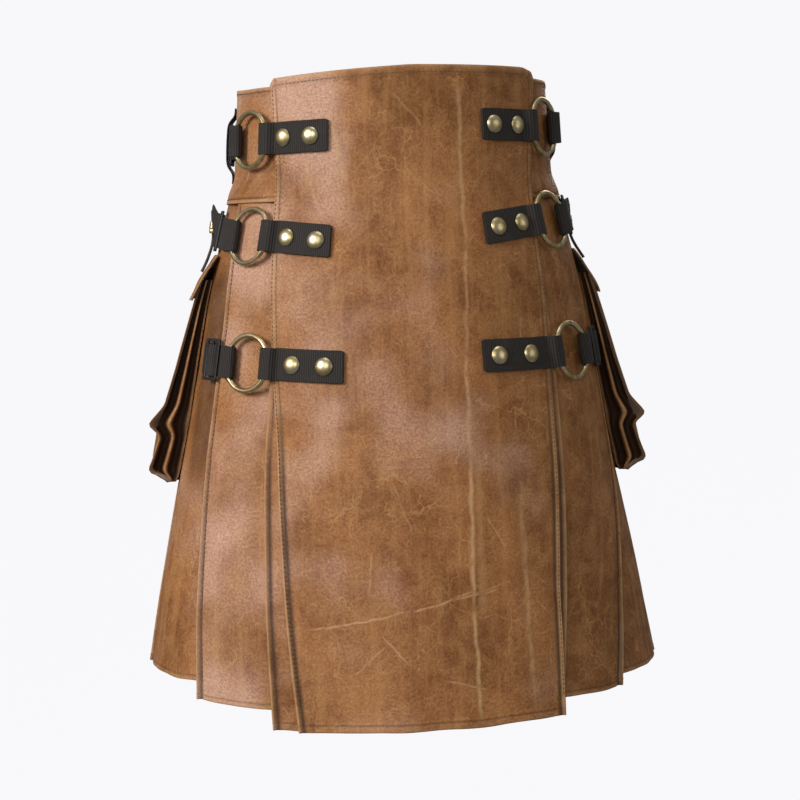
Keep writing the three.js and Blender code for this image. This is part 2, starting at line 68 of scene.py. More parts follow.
# The form: half width and half depth of the kilt's body at each height
FORM = [
    {"z": 54, "width": 153.5, "depth": 126.5},
    {"z": -54, "width": 160, "depth": 132},
    {"z": -160, "width": 185, "depth": 157},
    {"z": -211, "width": 194, "depth": 166},
    {"z": -292, "width": 207, "depth": 179},
    {"z": -350, "width": 219, "depth": 191},
    {"z": -474, "width": 242, "depth": 214},
    {"z": -549, "width": 254.5, "depth": 226.5},
]

# Where long edges run: degrees round from the front middle, positive towards +X
APRON_EDGES = [
    {"z": 54, "left": -50.3, "right": 57},
    {"z": -104, "left": -44.4, "right": 47.6},
    {"z": -233, "left": -38.6, "right": 42.6},
    {"z": -304, "left": -35, "right": 40.2},
    {"z": -435, "left": -29.8, "right": 34},
    {"z": -549, "left": -24.7, "right": 31.1},
]
UNDER_EDGES = [
    {"z": 54, "left": -48, "right": 55},
    {"z": -104, "left": -42.8, "right": 46.5},
    {"z": -233, "left": -40, "right": 46},
    {"z": -304, "left": -39.4, "right": 43.5},
    {"z": -435, "left": -35.1, "right": 36.9},
    {"z": -549, "left": -30.8, "right": 30.9},
]
FIRST_FOLD = [
    {"z": -68, "left": -69, "right": 88},
    {"z": -139, "left": -65, "right": 84},
    {"z": -190, "left": -63, "right": 81},
    {"z": -269, "left": -63.2, "right": 77.4},
    {"z": -303, "left": -63, "right": 75.4},
    {"z": -387, "left": -59.6, "right": 66.2},
    {"z": -450, "left": -57, "right": 58.4},
    {"z": -536, "left": -52.5, "right": 50.8},
]
FOLD_SHARES = [0, 0.25, 0.45, 0.65, 0.85]

# The fastenings: angles towards the strap's own side, rise is the strap's slope away from the front
FASTENINGS = [
    {"name": "left_top", "side": -1, "z": -11, "end": 25.1, "snaps": [31.6, 42.6], "ring": 60,
     "rise": -0.02, "reach": 79, "tail": 111},
    {"name": "right_top", "side": 1, "z": -2, "end": 28.1, "snaps": [32.8, 43.6], "ring": 61,
     "rise": -0.01, "reach": 84, "tail": 116},
    {"name": "left_middle", "side": -1, "z": -103.2, "end": 22.8, "snaps": [27.6, 38.1], "ring": 54.3,
     "rise": 0.1, "reach": 82.4, "tail": 116.4},
    {"name": "right_middle", "side": 1, "z": -92.5, "end": 25.4, "snaps": [30.2, 40], "ring": 56,
     "rise": 0.13, "reach": 62.6, "tail": 96.6},
    {"name": "left_low", "side": -1, "z": -223, "end": 17.5, "snaps": [22.8, 32.2], "ring": 47.4,
     "rise": 0.04, "reach": 57, "tail": 83},
    {"name": "right_low", "side": 1, "z": -218.5, "end": 20, "snaps": [24.7, 35.1], "ring": 52.5,
     "rise": 0, "reach": 68, "tail": 85},
]
SLIDER = {"length": 28, "height": 41, "bar": 4, "thickness": 2.2}
TAIL_TIP = {-1: {"lift": 21, "climb": 22}, 1: {"lift": 16, "climb": 11}, "half": 3.5}
BELT_LOOP = [(35.5, 1.4), (28, 2.2), (20, 7.4), (9, 8.6), (-10, 8.6), (-21, 7.4), (-30, 2.2), (-39.5, 1.4)]
BELT_LOOP_ANGLE = {-1: 95, 1: 98}
BELT_LOOP_WIDTH = 22

# The cargo pocket: how far its front stands off its back, in the middle and at its flared corners
POCKET_MIDDLE = 112
POCKET_WIDTH = 168
POCKET_GAP = 0.9
POCKET = [
    {"z": -146, "middle": 11, "corner": 11},
    {"z": -168, "middle": 13, "corner": 13.5},
    {"z": -232, "middle": 20, "corner": 21},
    {"z": -270, "middle": 26, "corner": 27},
    {"z": -289, "middle": 31, "corner": 41},
    {"z": -301, "middle": 31, "corner": 26},
    {"z": -322, "middle": 31, "corner": 29},
    {"z": -336, "middle": 28, "corner": 32},
    {"z": -348, "middle": 14, "corner": 14},
]
FLAP = [(-121, 4.6), (-127, 7.6), (-146, 15.5), (-165, 21)]

# The laces, from the strap's tip down, and the bead on each
LACES = {
    "left": [
        (-183.1, 29.6, -76.1), (-183.1, 29.6, -80), (-183.1, 29.6, -85), (-183.1, 29.6, -90),
        (-183.1, 29.6, -95), (-183.1, 29.6, -100), (-183.2, 29.5, -104), (-183.8, 29.4, -108),
        (-184.7, 29.2, -112), (-185.9, 29, -116), (-187.4, 28.8, -120), (-189.1, 28.6, -124.5),
        (-191.1, 28.3, -129), (-193.3, 28, -133.5), (-195.8, 27.7, -138),
    ],
    "right": [
        (180.4, 13.9, -76.1), (180.4, 13.9, -80), (180.4, 13.9, -84), (180.4, 13.9, -88),
        (180.4, 13.9, -92), (180.4, 13.9, -96), (180.5, 13.8, -100), (181, 13.7, -104),
        (182.1, 13.6, -108), (183.7, 13.5, -112), (185.7, 13.4, -116), (188, 13.2, -120),
        (190.4, 13, -123.7), (192.8, 12.8, -127.4), (195.2, 12.5, -131),
    ],
}
BEAD = {"below": 11, "length": 12, "outer": 3.9, "neck": 2.9, "hole": 1.9}


# The camera: at hip height, a little to the left, tilted down and rolled as in the photograph
CAMERA_EYE = Vector((-0.132, -1.888, -0.110))
CAMERA_AIM = Vector((0.0025, 0, -0.272))
CAMERA_LENS = 83.9
CAMERA_ROLL = -1.1


def new_object(name, data):
    """A new object in the scene."""
    made = bpy.data.objects.new(name, data)
    bpy.context.scene.collection.objects.link(made)
    return made


def make_camera():
    data = bpy.data.cameras.new("camera")
    data.sensor_width = 36
    data.lens = CAMERA_LENS
    data.clip_end = 50
    spot = new_object("camera", data)
    spot.location = CAMERA_EYE
    spot.rotation_mode = "QUATERNION"
    look = (CAMERA_AIM - CAMERA_EYE).to_track_quat("-Z", "Y")
    spot.rotation_quaternion = look @ Quaternion((0, 0, 1), math.radians(CAMERA_ROLL))
    bpy.context.scene.camera = spot


make_camera()


# Measuring on the form
def clamp(value):
    return min(1.0, max(0.0, value))


def ease(value):
    """From 0 to 1 with soft ends."""
    value = clamp(value)
    return value * value * (3 - 2 * value)


def bell(distance, reach):
    """1 at no distance, falling away over a reach."""
    return math.exp(-((distance / reach) ** 2))


def column(table, z, key):
    """A column of a table at a height, straight between its rows and past its ends."""
    lower = next((i for i, row in enumerate(table) if row["z"] <= z), len(table) - 1)
    lower = max(1, lower)
    above, below = table[lower - 1], table[lower]
    share = (above["z"] - z) / (above["z"] - below["z"])
    return above[key] + (below[key] - above[key]) * share


def smoothed(table, key, reach=14):
    """A column of a table as a function of height, with its corners rounded over a reach."""
    lowest = -640
    steps = (-reach, -reach / 2, 0, reach / 2, reach)
    values = [sum(column(table, z + step, key) for step in steps) / len(steps) for z in range(lowest, 121)]

    def at(z):
        spot = min(max(z - lowest, 0), len(values) - 1.001)
        low = int(spot)
        return values[low] + (values[low + 1] - values[low]) * (spot - low)

    return at


half_width = smoothed(FORM, "width")
half_depth = smoothed(FORM, "depth")
apron_edge = {side: smoothed(APRON_EDGES, sign) for side, sign in SIGN.items()}
under_edge = {side: smoothed(UNDER_EDGES, sign) for side, sign in SIGN.items()}
first_fold = {side: smoothed(FIRST_FOLD, sign) for side, sign in SIGN.items()}


def place(degrees, z, out):
    """The point at an angle and height, moved out level by a distance."""
    wide, deep = half_width(z), half_depth(z)
    turn = math.radians(degrees)
    across, along = math.sin(turn) / wide, -math.cos(turn) / deep
    size = math.hypot(across, along)
    x = wide * math.sin(turn) + out * across / size
    y = -deep * math.cos(turn) + out * along / size
    return Vector((x * MM, y * MM, z * MM))


def per_degree(degrees, z):
    """The distance round for one degree at an angle and height."""
    turn = math.radians(degrees)
    return math.radians(1) * math.hypot(half_width(z) * math.cos(turn), half_depth(z) * math.sin(turn))


def walk(degrees, distance, z, steps=6):
    """The angle a distance round from another one."""
    angle = degrees
    for _ in range(steps):
        half = angle + distance / steps / 2 / per_degree(angle, z)
        angle += distance / steps / per_degree(half, z)
    return angle


def girth(start, end, z, steps=8):
    """The distance round from one angle to another."""
    width = (end - start) / steps
    return sum(per_degree(start + (i + 0.5) * width, z) * width for i in range(steps))


def depth_share(z):
    """0 at the waist, 1 at the hem."""
    return clamp(z / APRON_HEM)


def pleat_opening(z):
    """0 where the pleats are sewn into the yoke, 1 at their hem."""
    return clamp((YOKE_SEAM - z) / (YOKE_SEAM - FIRST_PLEAT_HEM))


# How far each layer lies off the form
def apron_out(z):
    return 3.7 + 3.3 * depth_share(z) + LEATHER / 2


def under_out(z):
    return 1.4 + 2.2 * depth_share(z) + LEATHER / 2


def edge_curl(z):
    return 2.2 * clamp((-250 - z) / 300)


def fold_out(z):
    return 1.5 + 2.5 * pleat_opening(z)


def fold_face(z):
    return fold_out(z) + 0.3 + 1.2 * pleat_opening(z) + LEATHER / 2


def tuck_depth(z):
    """Where a pleat's tuck lies, under the next pleat's fold."""
    return fold_out(z) - 5.9 - 5 * pleat_opening(z)


def fold_angle(index, side, z):
    """The angle of a fold towards its own side, so always positive."""
    first = abs(first_fold[side](z))
    return first + (180 - first) * FOLD_SHARES[index]


# Shader helpers
def put(tree, kind, inputs=None, **settings):
    """A shader node. An input is a value, or the socket that feeds it."""
    made = tree.nodes.new(kind)
    for name, value in settings.items():
        setattr(made, name, value)
    for name, value in (inputs or {}).items():
        socket = made.inputs[name]
        if isinstance(value, bpy.types.NodeSocket):
            tree.links.new(value, socket)
        else:
            socket.default_value = value
    return made


def maths(tree, operation, first, second, third=0.0):
    """A sum or another operation of two or three values."""
    return put(tree, "ShaderNodeMath", {0: first, 1: second, 2: third}, operation=operation).outputs[0]


def span(tree, value, low, high, to_low=0.0, to_high=1.0):
    """A value's range mapped to another, with soft ends."""
    inputs = {"Value": value, "From Min": low, "From Max": high, "To Min": to_low, "To Max": to_high}
    return put(tree, "ShaderNodeMapRange", inputs, interpolation_type="SMOOTHSTEP").outputs[0]


def blended(tree, share, first, second, kind="MIX"):
    """Two colours mixed by a share."""
    made = put(tree, "ShaderNodeMix", data_type="RGBA", blend_type=kind,
               clamp_factor=True, clamp_result=False)
    for index, value in ((0, share), (6, first), (7, second)):
        if isinstance(value, bpy.types.NodeSocket):
            tree.links.new(value, made.inputs[index])
        else:
            made.inputs[index].default_value = value
    return made.outputs[2]


def noise_of(tree, vector, scale, detail=3.0, rough=0.55, twist=0.0):
    inputs = {"Vector": vector, "Scale": scale, "Detail": detail, "Roughness": rough, "Distortion": twist}
    return put(tree, "ShaderNodeTexNoise", inputs).outputs["Fac"]


def stretched(tree, vector, scale, shift=(0, 0, 0)):
    return put(tree, "ShaderNodeMapping", {"Vector": vector, "Scale": scale, "Location": shift}).outputs[0]


def attribute(tree, name):
    return put(tree, "ShaderNodeAttribute", attribute_name=name).outputs["Fac"]


def new_group(name, inputs, outputs):
    """An empty node group with named inputs and outputs. Returns it, its inputs and its outputs."""
    group = bpy.data.node_groups.new(name, "ShaderNodeTree")
    for label, kind, value in inputs:
        socket = group.interface.new_socket(label, in_out="INPUT", socket_type=kind)
        if value is not None:
            socket.default_value = value
    for label, kind in outputs:
        group.interface.new_socket(label, in_out="OUTPUT", socket_type=kind)
    return group, group.nodes.new("NodeGroupInput").outputs, group.nodes.new("NodeGroupOutput").inputs


def hide_group():
    """The hide, from a place on the flat cut: patches, mottle, grain, rubbed streaks and scratches."""
    names = ("Patches", "Mottle", "Grain", "Streaks", "Scratches", "Height")
    floats = [(name, "NodeSocketFloat") for name in names]
    group, given, result = new_group("hide", [("Vector", "NodeSocketVector", None)], floats)
    at = given["Vector"]
    patches = span(group, noise_of(group, at, 11, 4, 0.55, 0.25), 0.3, 0.7)
    mottle = span(group, noise_of(group, at, 46, 9, 0.72, 0.5), 0.32, 0.68)
    grain = span(group, noise_of(group, at, 420, 5, 0.75, 0.4), 0.28, 0.72)
    pebbles = put(group, "ShaderNodeTexVoronoi", {"Vector": at, "Scale": 800},
                  feature="SMOOTH_F1").outputs[0]
    long_runs = noise_of(group, stretched(group, at, (70, 4.5, 1)), 1, 4, 0.6, 0.2)
    short_runs = noise_of(group, stretched(group, at, (190, 16, 1), (3, 7, 0)), 1, 3, 0.6)
    long_streaks = span(group, long_runs, 0.49, 0.68)
    short_streaks = span(group, short_runs, 0.53, 0.7, 0.0, 0.7)
    streaks = maths(group, "MAXIMUM", long_streaks, short_streaks)
    bent = put(group, "ShaderNodeVectorMath", {
        0: at,
        1: put(group, "ShaderNodeVectorMath", {
            0: put(group, "ShaderNodeTexNoise", {"Vector": at, "Scale": 26, "Detail": 3}).outputs["Color"],
            "Scale": 0.05,
        }, operation="SCALE").outputs[0],
    }, operation="ADD").outputs[0]
    marks = []
    for scale, width, keep in ((14, 0.01, 0.47), (27, 0.016, 0.49), (58, 0.026, 0.51)):
        cracks = put(group, "ShaderNodeTexVoronoi", {"Vector": bent, "Scale": scale},
                     feature="DISTANCE_TO_EDGE")
        line = span(group, cracks.outputs[0], 0.0, width, 1.0, 0.0)
        kept = span(group, noise_of(group, at, scale * 0.7, 2), keep, keep + 0.12)
        marks.append(maths(group, "MULTIPLY", line, kept))
    scratches = maths(group, "MAXIMUM", maths(group, "MAXIMUM", marks[0], marks[1]), marks[2])
    coarse = maths(group, "MULTIPLY_ADD", mottle, 0.5, grain)
    height = maths(group, "MULTIPLY_ADD", pebbles, 0.3, coarse)
    for name, value in zip(names, (patches, mottle, grain, streaks, scratches, height)):
        group.links.new(value, result[name])
    return group


def scratch_group():
    """One scratch or crease drawn as a straight line on the flat cut, fading at its ends."""
    inputs = [("Vector", "NodeSocketVector", None), ("Start", "NodeSocketVector", (0, 0, 0)),
              ("Along", "NodeSocketVector", (1, 0, 0)), ("Across", "NodeSocketVector", (0, 1, 0)),
              ("Length", "NodeSocketFloat", 0.1), ("Width", "NodeSocketFloat", 0.001),
              ("Strength", "NodeSocketFloat", 0.5)]
    group, given, result = new_group("scratch", inputs, [("Mark", "NodeSocketFloat")])
    wander = put(group, "ShaderNodeTexNoise", {"Vector": given["Vector"], "Scale": 45, "Detail": 2})
    offset = put(group, "ShaderNodeVectorMath", {0: given["Vector"], 1: given["Start"]},
                 operation="SUBTRACT").outputs[0]
    along, across = (put(group, "ShaderNodeVectorMath", {0: offset, 1: given[way]},
                         operation="DOT_PRODUCT").outputs["Value"] for way in ("Along", "Across"))
    shaken = maths(group, "MULTIPLY_ADD", wander.outputs["Fac"], 0.006, across)
    aside = maths(group, "ABSOLUTE", maths(group, "SUBTRACT", shaken, 0.003), 0)
    share = maths(group, "DIVIDE", along, given["Length"])
    ends = maths(group, "MULTIPLY", span(group, share, 0.0, 0.15), span(group, share, 0.8, 1.0, 1.0, 0.0))
    narrow = maths(group, "DIVIDE", aside, given["Width"])
    line = span(group, narrow, 0.0, 1.0, 1.0, 0.0)
    broken = span(group, noise_of(group, given["Vector"], 110, 3), 0.2, 0.6, 0.25, 1.0)
    mark = maths(group, "MULTIPLY", maths(group, "MULTIPLY", line, ends), broken)
    group.links.new(maths(group, "MULTIPLY", mark, given["Strength"]), result["Mark"])
    return group


HIDE = hide_group()
SCRATCH = scratch_group()


def new_material(name, settings=None):
    """A material, its node tree and its shader, with the shader's plain settings."""
    made = bpy.data.materials.new(name)
    made.use_nodes = True
    tree = made.node_tree
    tree.nodes.clear()
    shader = put(tree, "ShaderNodeBsdfPrincipled", settings)
    output = put(tree, "ShaderNodeOutputMaterial")
    tree.links.new(shader.outputs[0], output.inputs["Surface"])
    return made, tree, shader


def paint(tree, shader, colour, roughness=None):
    """Feeds the shader's colour, and its roughness if that varies."""
    tree.links.new(colour, shader.inputs["Base Color"])
    if roughness is not None:
        tree.links.new(roughness, shader.inputs["Roughness"])


def bump(tree, shader, height, strength, distance):
    made = put(tree, "ShaderNodeBump", {"Height": height, "Strength": strength, "Distance": distance})
    tree.links.new(made.outputs[0], shader.inputs["Normal"])


# Long marks on the front apron's cut, in millimetres: from a place to another, half width and strength
APRON_MARKS = [
    ((53, 50), (56, -130), 3.6, 0.5),
    ((56, -110), (52, -225), 3.0, 0.45),
    ((52, -212), (52, -318), 3.4, 0.6),
    ((52, -304), (50, -452), 3.2, 0.75),
    ((50, -440), (54, -548), 3.0, 0.75),
    ((60, -300), (58, -470), 5.5, 0.25),
    ((102, -330), (102, -440), 4.5, 0.35),
    ((102, -408), (105, -530), 4.0, 0.5),
    ((-70, 20), (-52, -60), 3.5, 0.4),
    ((-96, -20), (-78, -90), 3.0, 0.3),
    ((-104, -461), (0, -443), 1.5, 0.6),
    ((-6, -445), (34, -436), 1.6, 0.7),
    ((28, -438), (78, -429), 1.4, 0.55),
    ((16, -440), (54, -430), 1.4, 0.5),
    ((48, -433), (90, -423), 1.2, 0.4),
    ((-33, -463), (-8, -493), 1.5, 0.5),
    ((-40, -392), (-43, -430), 1.5, 0.4),
    ((66, -366), (84, -395), 1.4, 0.5),
    ((-20, -330), (-2, -380), 1.5, 0.3),
    ((-60, -500), (-28, -472), 1.4, 0.4),
    ((20, -505), (62, -516), 1.6, 0.4),
    ((-82, -250), (-70, -300), 2.0, 0.3),
    ((112, -180), (104, -230), 2.4, 0.3),
    ((-10, 30), (22, -8), 2.0, 0.25),
]

# Soft stains and rubbed places on the apron: middle, half width, half height, and darker (-) or paler (+)
ROUND_THE_FRONT = 1.15
APRON_STAINS = [
    ((-14, 4), 34, 62, -0.55),
    ((10, -40), 30, 40, -0.3),
    ((-98, -70), 46, 60, 0.7),
    ((-96, -190), 44, 70, 0.3),
    ((-92, 10), 44, 50, 0.7),
    ((-52, -200), 40, 60, -0.2),
    ((6, -290), 60, 34, 0.35),
    ((84, -40), 40, 80, -0.35),
    ((92, -200), 36, 70, -0.3),
    ((-80, -400), 40, 70, 0.25),
    ((104, -310), 30, 60, 0.2),
    ((20, -395), 26, 50, -0.25),
    ((-20, -500), 70, 34, 0.2),
]

TAN = (0.33, 0.13, 0.042, 1)
DARK = (0.18, 0.058, 0.013, 1)
PALE = (0.62, 0.385, 0.255, 1)
GOLD = (0.52, 0.255, 0.088, 1)
ROSE = (0.53, 0.3, 0.205, 1)
OLIVE = (0.155, 0.056, 0.007, 1)
# Pale colour for rubbed places and for painted highlights
RUB_AND_HIGHLIGHT_COLOUR = (0.57, 0.33, 0.15, 1)
SCUFFED = (0.62, 0.38, 0.19, 1)
# Dark colour for seam dirt and for painted shade
SEAM_DIRT_AND_SHADE = (0.034, 0.013, 0.005, 1)


# Painted light: the leather's tone rises towards the lit left side, by so much a metre, but only in front
# of this depth
LIT_SIDE = 0.8
BEHIND = 0.05


def apron_tone(point):
    """How pale or dark the apron is at a point, with its stains."""
    u, z = point.x / MM * ROUND_THE_FRONT, point.z / MM
    total = 0.0
    for (x, y), wide, tall, amount in APRON_STAINS:
        total += amount * math.exp(-(((u - x) / wide) ** 2 + ((z - y) / tall) ** 2))
    return 0.5 + 0.5 * total


def leather_material(name, marks=()):
    """Waxed pull-up leather: cloudy browns, pale where it is bent or rubbed and as painted highlight on
    ridges, dark along its seams and as painted shade in valleys and recesses.
    """
    made, tree, shader = new_material(name, {"Specular IOR Level": 0.28})
    flat = put(tree, "ShaderNodeUVMap", uv_map="cut").outputs[0]
    masks = put(tree, "ShaderNodeGroup", {"Vector": flat}, node_tree=HIDE).outputs
    # tone holds each piece's own tone and the painted light of the front's lit left side: high tone mixes
    # in rose and pale, low tone olive
    tone = attribute(tree, "tone")
    middle = blended(tree, masks["Patches"], DARK, TAN)
    ground = blended(tree, span(tree, tone, 0.5, 1.0), middle, ROSE)
    deep = blended(tree, masks["Patches"], OLIVE, DARK)
    ground = blended(tree, span(tree, tone, 0.5, 0.0), ground, deep)
    pale = blended(tree, span(tree, tone, 0.5, 1.0), GOLD, PALE)
    ground = blended(tree, maths(tree, "MULTIPLY", masks["Mottle"], 0.42), ground, pale)
    shade = span(tree, masks["Grain"], 0.0, 1.0, 0.68, 1.26)
    ground = blended(tree, 1.0, ground, shade, "MULTIPLY")
    ground = blended(tree, maths(tree, "MULTIPLY", masks["Streaks"], 0.3), ground, pale)
    ground = blended(tree, maths(tree, "MULTIPLY", masks["Scratches"], 0.5), ground, pale)
    lines = maths(tree, "MULTIPLY", masks["Scratches"], 0.12)
    for start, end, width, strength in marks:
        run = Vector((end[0] - start[0], end[1] - start[1], 0)) * MM
        along = run.normalized()
        inputs = {"Vector": flat, "Start": (start[0] * MM, start[1] * MM, 0), "Along": along,
                  "Across": (-along.y, along.x, 0), "Length": run.length, "Width": width * MM,
                  "Strength": strength}
        one = put(tree, "ShaderNodeGroup", inputs, node_tree=SCRATCH)
        lines = maths(tree, "MAXIMUM", lines, one.outputs["Mark"])
    ground = blended(tree, lines, ground, SCUFFED)
    mottled_share = span(tree, masks["Mottle"], 0.0, 1.0, 0.55, 1.0)
    # Rubbed places, partly painted highlight on crests, folds and edges
    rubbed_and_highlit = maths(tree, "MULTIPLY", attribute(tree, "rub_and_highlight"), mottled_share)
    ground = blended(tree, rubbed_and_highlit, ground, RUB_AND_HIGHLIGHT_COLOUR)
    # Seam dirt, partly painted shade in valleys, recesses and beside the pockets
    ground = blended(tree, attribute(tree, "dirt_and_shade"), ground, SEAM_DIRT_AND_SHADE)
    paint(tree, shader, ground, span(tree, masks["Mottle"], 0.0, 1.0, 0.6, 0.46))
    relief = maths(tree, "MULTIPLY_ADD", lines, -0.5, masks["Height"])
    bump(tree, shader, relief, 0.5, 0.0006)
    return made


def suede_material():
    """The leather's flesh side: matt, fibrous and paler."""
    made, tree, shader = new_material("suede_inside", {"Roughness": 0.95, "Sheen Weight": 0.25})
    flat = put(tree, "ShaderNodeUVMap", uv_map="cut").outputs[0]
    nap = noise_of(tree, flat, 700, 4, 0.75)
    clouds = noise_of(tree, flat, 22, 4, 0.6)
    ground = blended(tree, span(tree, clouds, 0.35, 0.65), (0.2, 0.115, 0.062, 1), (0.27, 0.165, 0.095, 1))
    ground = blended(tree, span(tree, nap, 0.4, 0.7, 0.0, 0.5), ground, (0.36, 0.24, 0.15, 1))
    paint(tree, shader, ground)
    bump(tree, shader, nap, 0.7, 0.0005)
    return made


def fibrous_material(name, scale, colours, roughness, relief,
                     high=0.65, detail=3, rough=0.7, stretch=None):
    """A plain material of fine fibres: noise mixes its two colours and gives its relief."""
    made, tree, shader = new_material(name, {"Roughness": roughness})
    here = put(tree, "ShaderNodeTexCoord").outputs["Object"]
    if stretch:
        here = stretched(tree, here, stretch)
    fibres = noise_of(tree, here, scale, detail, rough)
    paint(tree, shader, blended(tree, span(tree, fibres, 0.35, high), *colours))
    bump(tree, shader, fibres, *relief)
    return made


def edge_material():
    """The leather's cut edge, burnished darker than its face."""
    colours = ((0.12, 0.055, 0.026, 1), (0.3, 0.165, 0.085, 1))
    return fibrous_material("leather_edge", 900, colours, 0.8, (0.5, 0.0004))


def lace_material():
    """Thin waxed leather lace, nearly black."""
    colours = ((0.012, 0.009, 0.008, 1), (0.06, 0.045, 0.036, 1))
    return fibrous_material("dark_lace", 900, colours, 0.6, (0.5, 0.0004), high=0.7, stretch=(1, 1, 0.25))


def thread_material():
    """Dark brown sewing thread."""
    colours = ((0.08, 0.038, 0.017, 1), (0.16, 0.082, 0.04, 1))
    return fibrous_material("brown_thread", 1200, colours, 0.75, (0.4, 0.0002), detail=2, rough=0.6)


def webbing_material():
    """Ribbed black webbing, its ribs running across the strap."""
    plain = {"Roughness": 0.72, "Sheen Weight": 0.04, "Specular IOR Level": 0.25}
    made, tree, shader = new_material("black_webbing", plain)
    flat = put(tree, "ShaderNodeUVMap", uv_map="cut").outputs[0]
    parts = put(tree, "ShaderNodeSeparateXYZ", {"Vector": flat}).outputs
    rib_pitch, pick_pitch = 0.0021, 0.0011
    rib = maths(tree, "SINE", maths(tree, "MULTIPLY", parts["X"], 2 * math.pi / rib_pitch), 0)
    pick = maths(tree, "SINE", maths(tree, "MULTIPLY", parts["Y"], 2 * math.pi / pick_pitch), 0)
    weave = maths(tree, "MULTIPLY_ADD", rib, 0.32, maths(tree, "MULTIPLY_ADD", pick, 0.12, 0.5))
    fuzz = noise_of(tree, flat, 1500, 3, 0.7)
    faded = noise_of(tree, flat, 60, 3, 0.6)
    thread = maths(tree, "MULTIPLY", weave, span(tree, fuzz, 0.3, 0.7, 0.55, 1.0))
    ground = blended(tree, thread, (0.003, 0.0026, 0.0023, 1), (0.06, 0.05, 0.044, 1))
    ground = blended(tree, span(tree, faded, 0.5, 0.8, 0.0, 0.3), ground, (0.06, 0.05, 0.043, 1))
    paint(tree, shader, ground)
    height = maths(tree, "MULTIPLY_ADD", fuzz, 0.25, weave)
    bump(tree, shader, height, 0.9, 0.0004)
    return made


def brass_material():
    """Antiqued brass: bright where it is rubbed, darker and greener where it isn't."""
    made, tree, shader = new_material("antique_brass", {"Metallic": 1})
    here = put(tree, "ShaderNodeTexCoord").outputs["Object"]
    tarnish = noise_of(tree, here, 120, 4, 0.65)
    specks = noise_of(tree, here, 900, 2, 0.6)
    ground = blended(tree, span(tree, tarnish, 0.38, 0.62), (0.68, 0.58, 0.36, 1), (0.42, 0.33, 0.15, 1))
    ground = blended(tree, span(tree, specks, 0.6, 0.72, 0.0, 0.4), ground, (0.13, 0.1, 0.05, 1))
    paint(tree, shader, ground, span(tree, tarnish, 0.35, 0.65, 0.3, 0.42))
    bump(tree, shader, specks, 0.12, 0.0002)
    return made


def enamel_material():
    """Black enamel on the sliders, rubbed a little on its edges."""
    made, tree, shader = new_material("black_enamel")
    here = put(tree, "ShaderNodeTexCoord").outputs["Object"]
    dust = noise_of(tree, here, 300, 4, 0.7)
    dusty = span(tree, dust, 0.5, 0.8, 0.0, 0.7)
    ground = blended(tree, dusty, (0.012, 0.012, 0.014, 1), (0.05, 0.048, 0.05, 1))
    paint(tree, shader, ground, span(tree, dust, 0.3, 0.7, 0.3, 0.5))
    bump(tree, shader, dust, 0.1, 0.0002)
    return made


apron_leather = leather_material("apron_leather", APRON_MARKS)
panel_leather = leather_material("panel_leather")
suede = suede_material()
leather_edge = edge_material()
webbing = webbing_material()
brass = brass_material()
enamel = enamel_material()
lace_leather = lace_material()
thread = thread_material()


# Making pieces
def finish_piece(name, mesh, materials, nodes=(), smooth=True):
    """A finished object from a bmesh, riding on the kilt's one body."""
    data = bpy.data.meshes.new(name)
    mesh.to_mesh(data)
    mesh.free()
    for material in materials:
        data.materials.append(material)
    data.polygons.foreach_set("use_smooth", [smooth] * len(data.polygons))
    made = new_object(name, data)
    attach(made, "root")
    if nodes:
        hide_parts(*nodes)
    return made


def stations(length, fine=1.1, band=11, coarse=5.0):
    """Distances along a length: close together in a band at each end, wider between."""
    edge = [band * i / round(band / fine) for i in range(round(band / fine) + 1)]
    inside = length - 2 * band
    count = max(2, round(inside / coarse))
    middle = [band + inside * i / count for i in range(1, count)]
    return edge + middle + [length - step for step in reversed(edge)]


def draped(columns, rows, lay, shift=(0, 0), turned=False):
    """A sheet laid on the body: a grid whose points go where lay(column, row) says.

    lay gives a point, its place on the flat cut, its rub with painted highlight and its dirt with painted
    shade there.
    """
    mesh = bmesh.new()
    across, down = len(columns) - 1, len(rows) - 1
    bmesh.ops.create_grid(mesh, x_segments=across, y_segments=down, size=0.5)
    cut = mesh.loops.layers.uv.new("cut")
    layers = [mesh.verts.layers.float.new(name) for name in ("rub_and_highlight", "dirt_and_shade")]
    flat = {}
    for vert in mesh.verts:
        i, j = round((vert.co.x + 0.5) * across), round((0.5 - vert.co.y) * down)
        point, place_on_cut, rub_and_highlight, dirt_and_shade = lay(columns[i], rows[j])
        vert.co = point
        flat[vert] = ((place_on_cut[0] + shift[0]) * MM, (place_on_cut[1] + shift[1]) * MM)
        vert[layers[0]] = clamp(rub_and_highlight)
        vert[layers[1]] = clamp(dirt_and_shade)
    for face in mesh.faces:
        for loop in face.loops:
            loop[cut].uv = flat[loop.vert]
    if turned:
        bmesh.ops.reverse_faces(mesh, faces=mesh.faces)
    return mesh


def thicken(made, thickness, offset):
    """Gives a sheet its wall: offset -1 grows it inwards, 0 both ways."""
    wall = made.modifiers.new("wall", "SOLIDIFY")
    wall.thickness = thickness * MM
    wall.offset = offset
    return wall


def leather_piece(name, mesh, node,
                  face=panel_leather, tone=0.5):
    """Its tone is a value, or a function of the point.
    """
    layer = mesh.verts.layers.float.new("tone")
    for vert in mesh.verts:
        own = tone(vert.co) if callable(tone) else tone
        own += 0.36 * noise.noise(vert.co * 9) + 0.24 * noise.noise(vert.co * 26)
        # Painted light: the front's tone is raised towards the lit left side and lowered towards the right
        lit = LIT_SIDE * vert.co.x if vert.co.y < BEHIND else 0
        vert[layer] = clamp(own - lit)
    made = finish_piece(name, mesh, (face, suede, leather_edge), [node])
    wall = thicken(made, LEATHER, -1)
    wall.material_offset = 1
    wall.material_offset_rim = 2


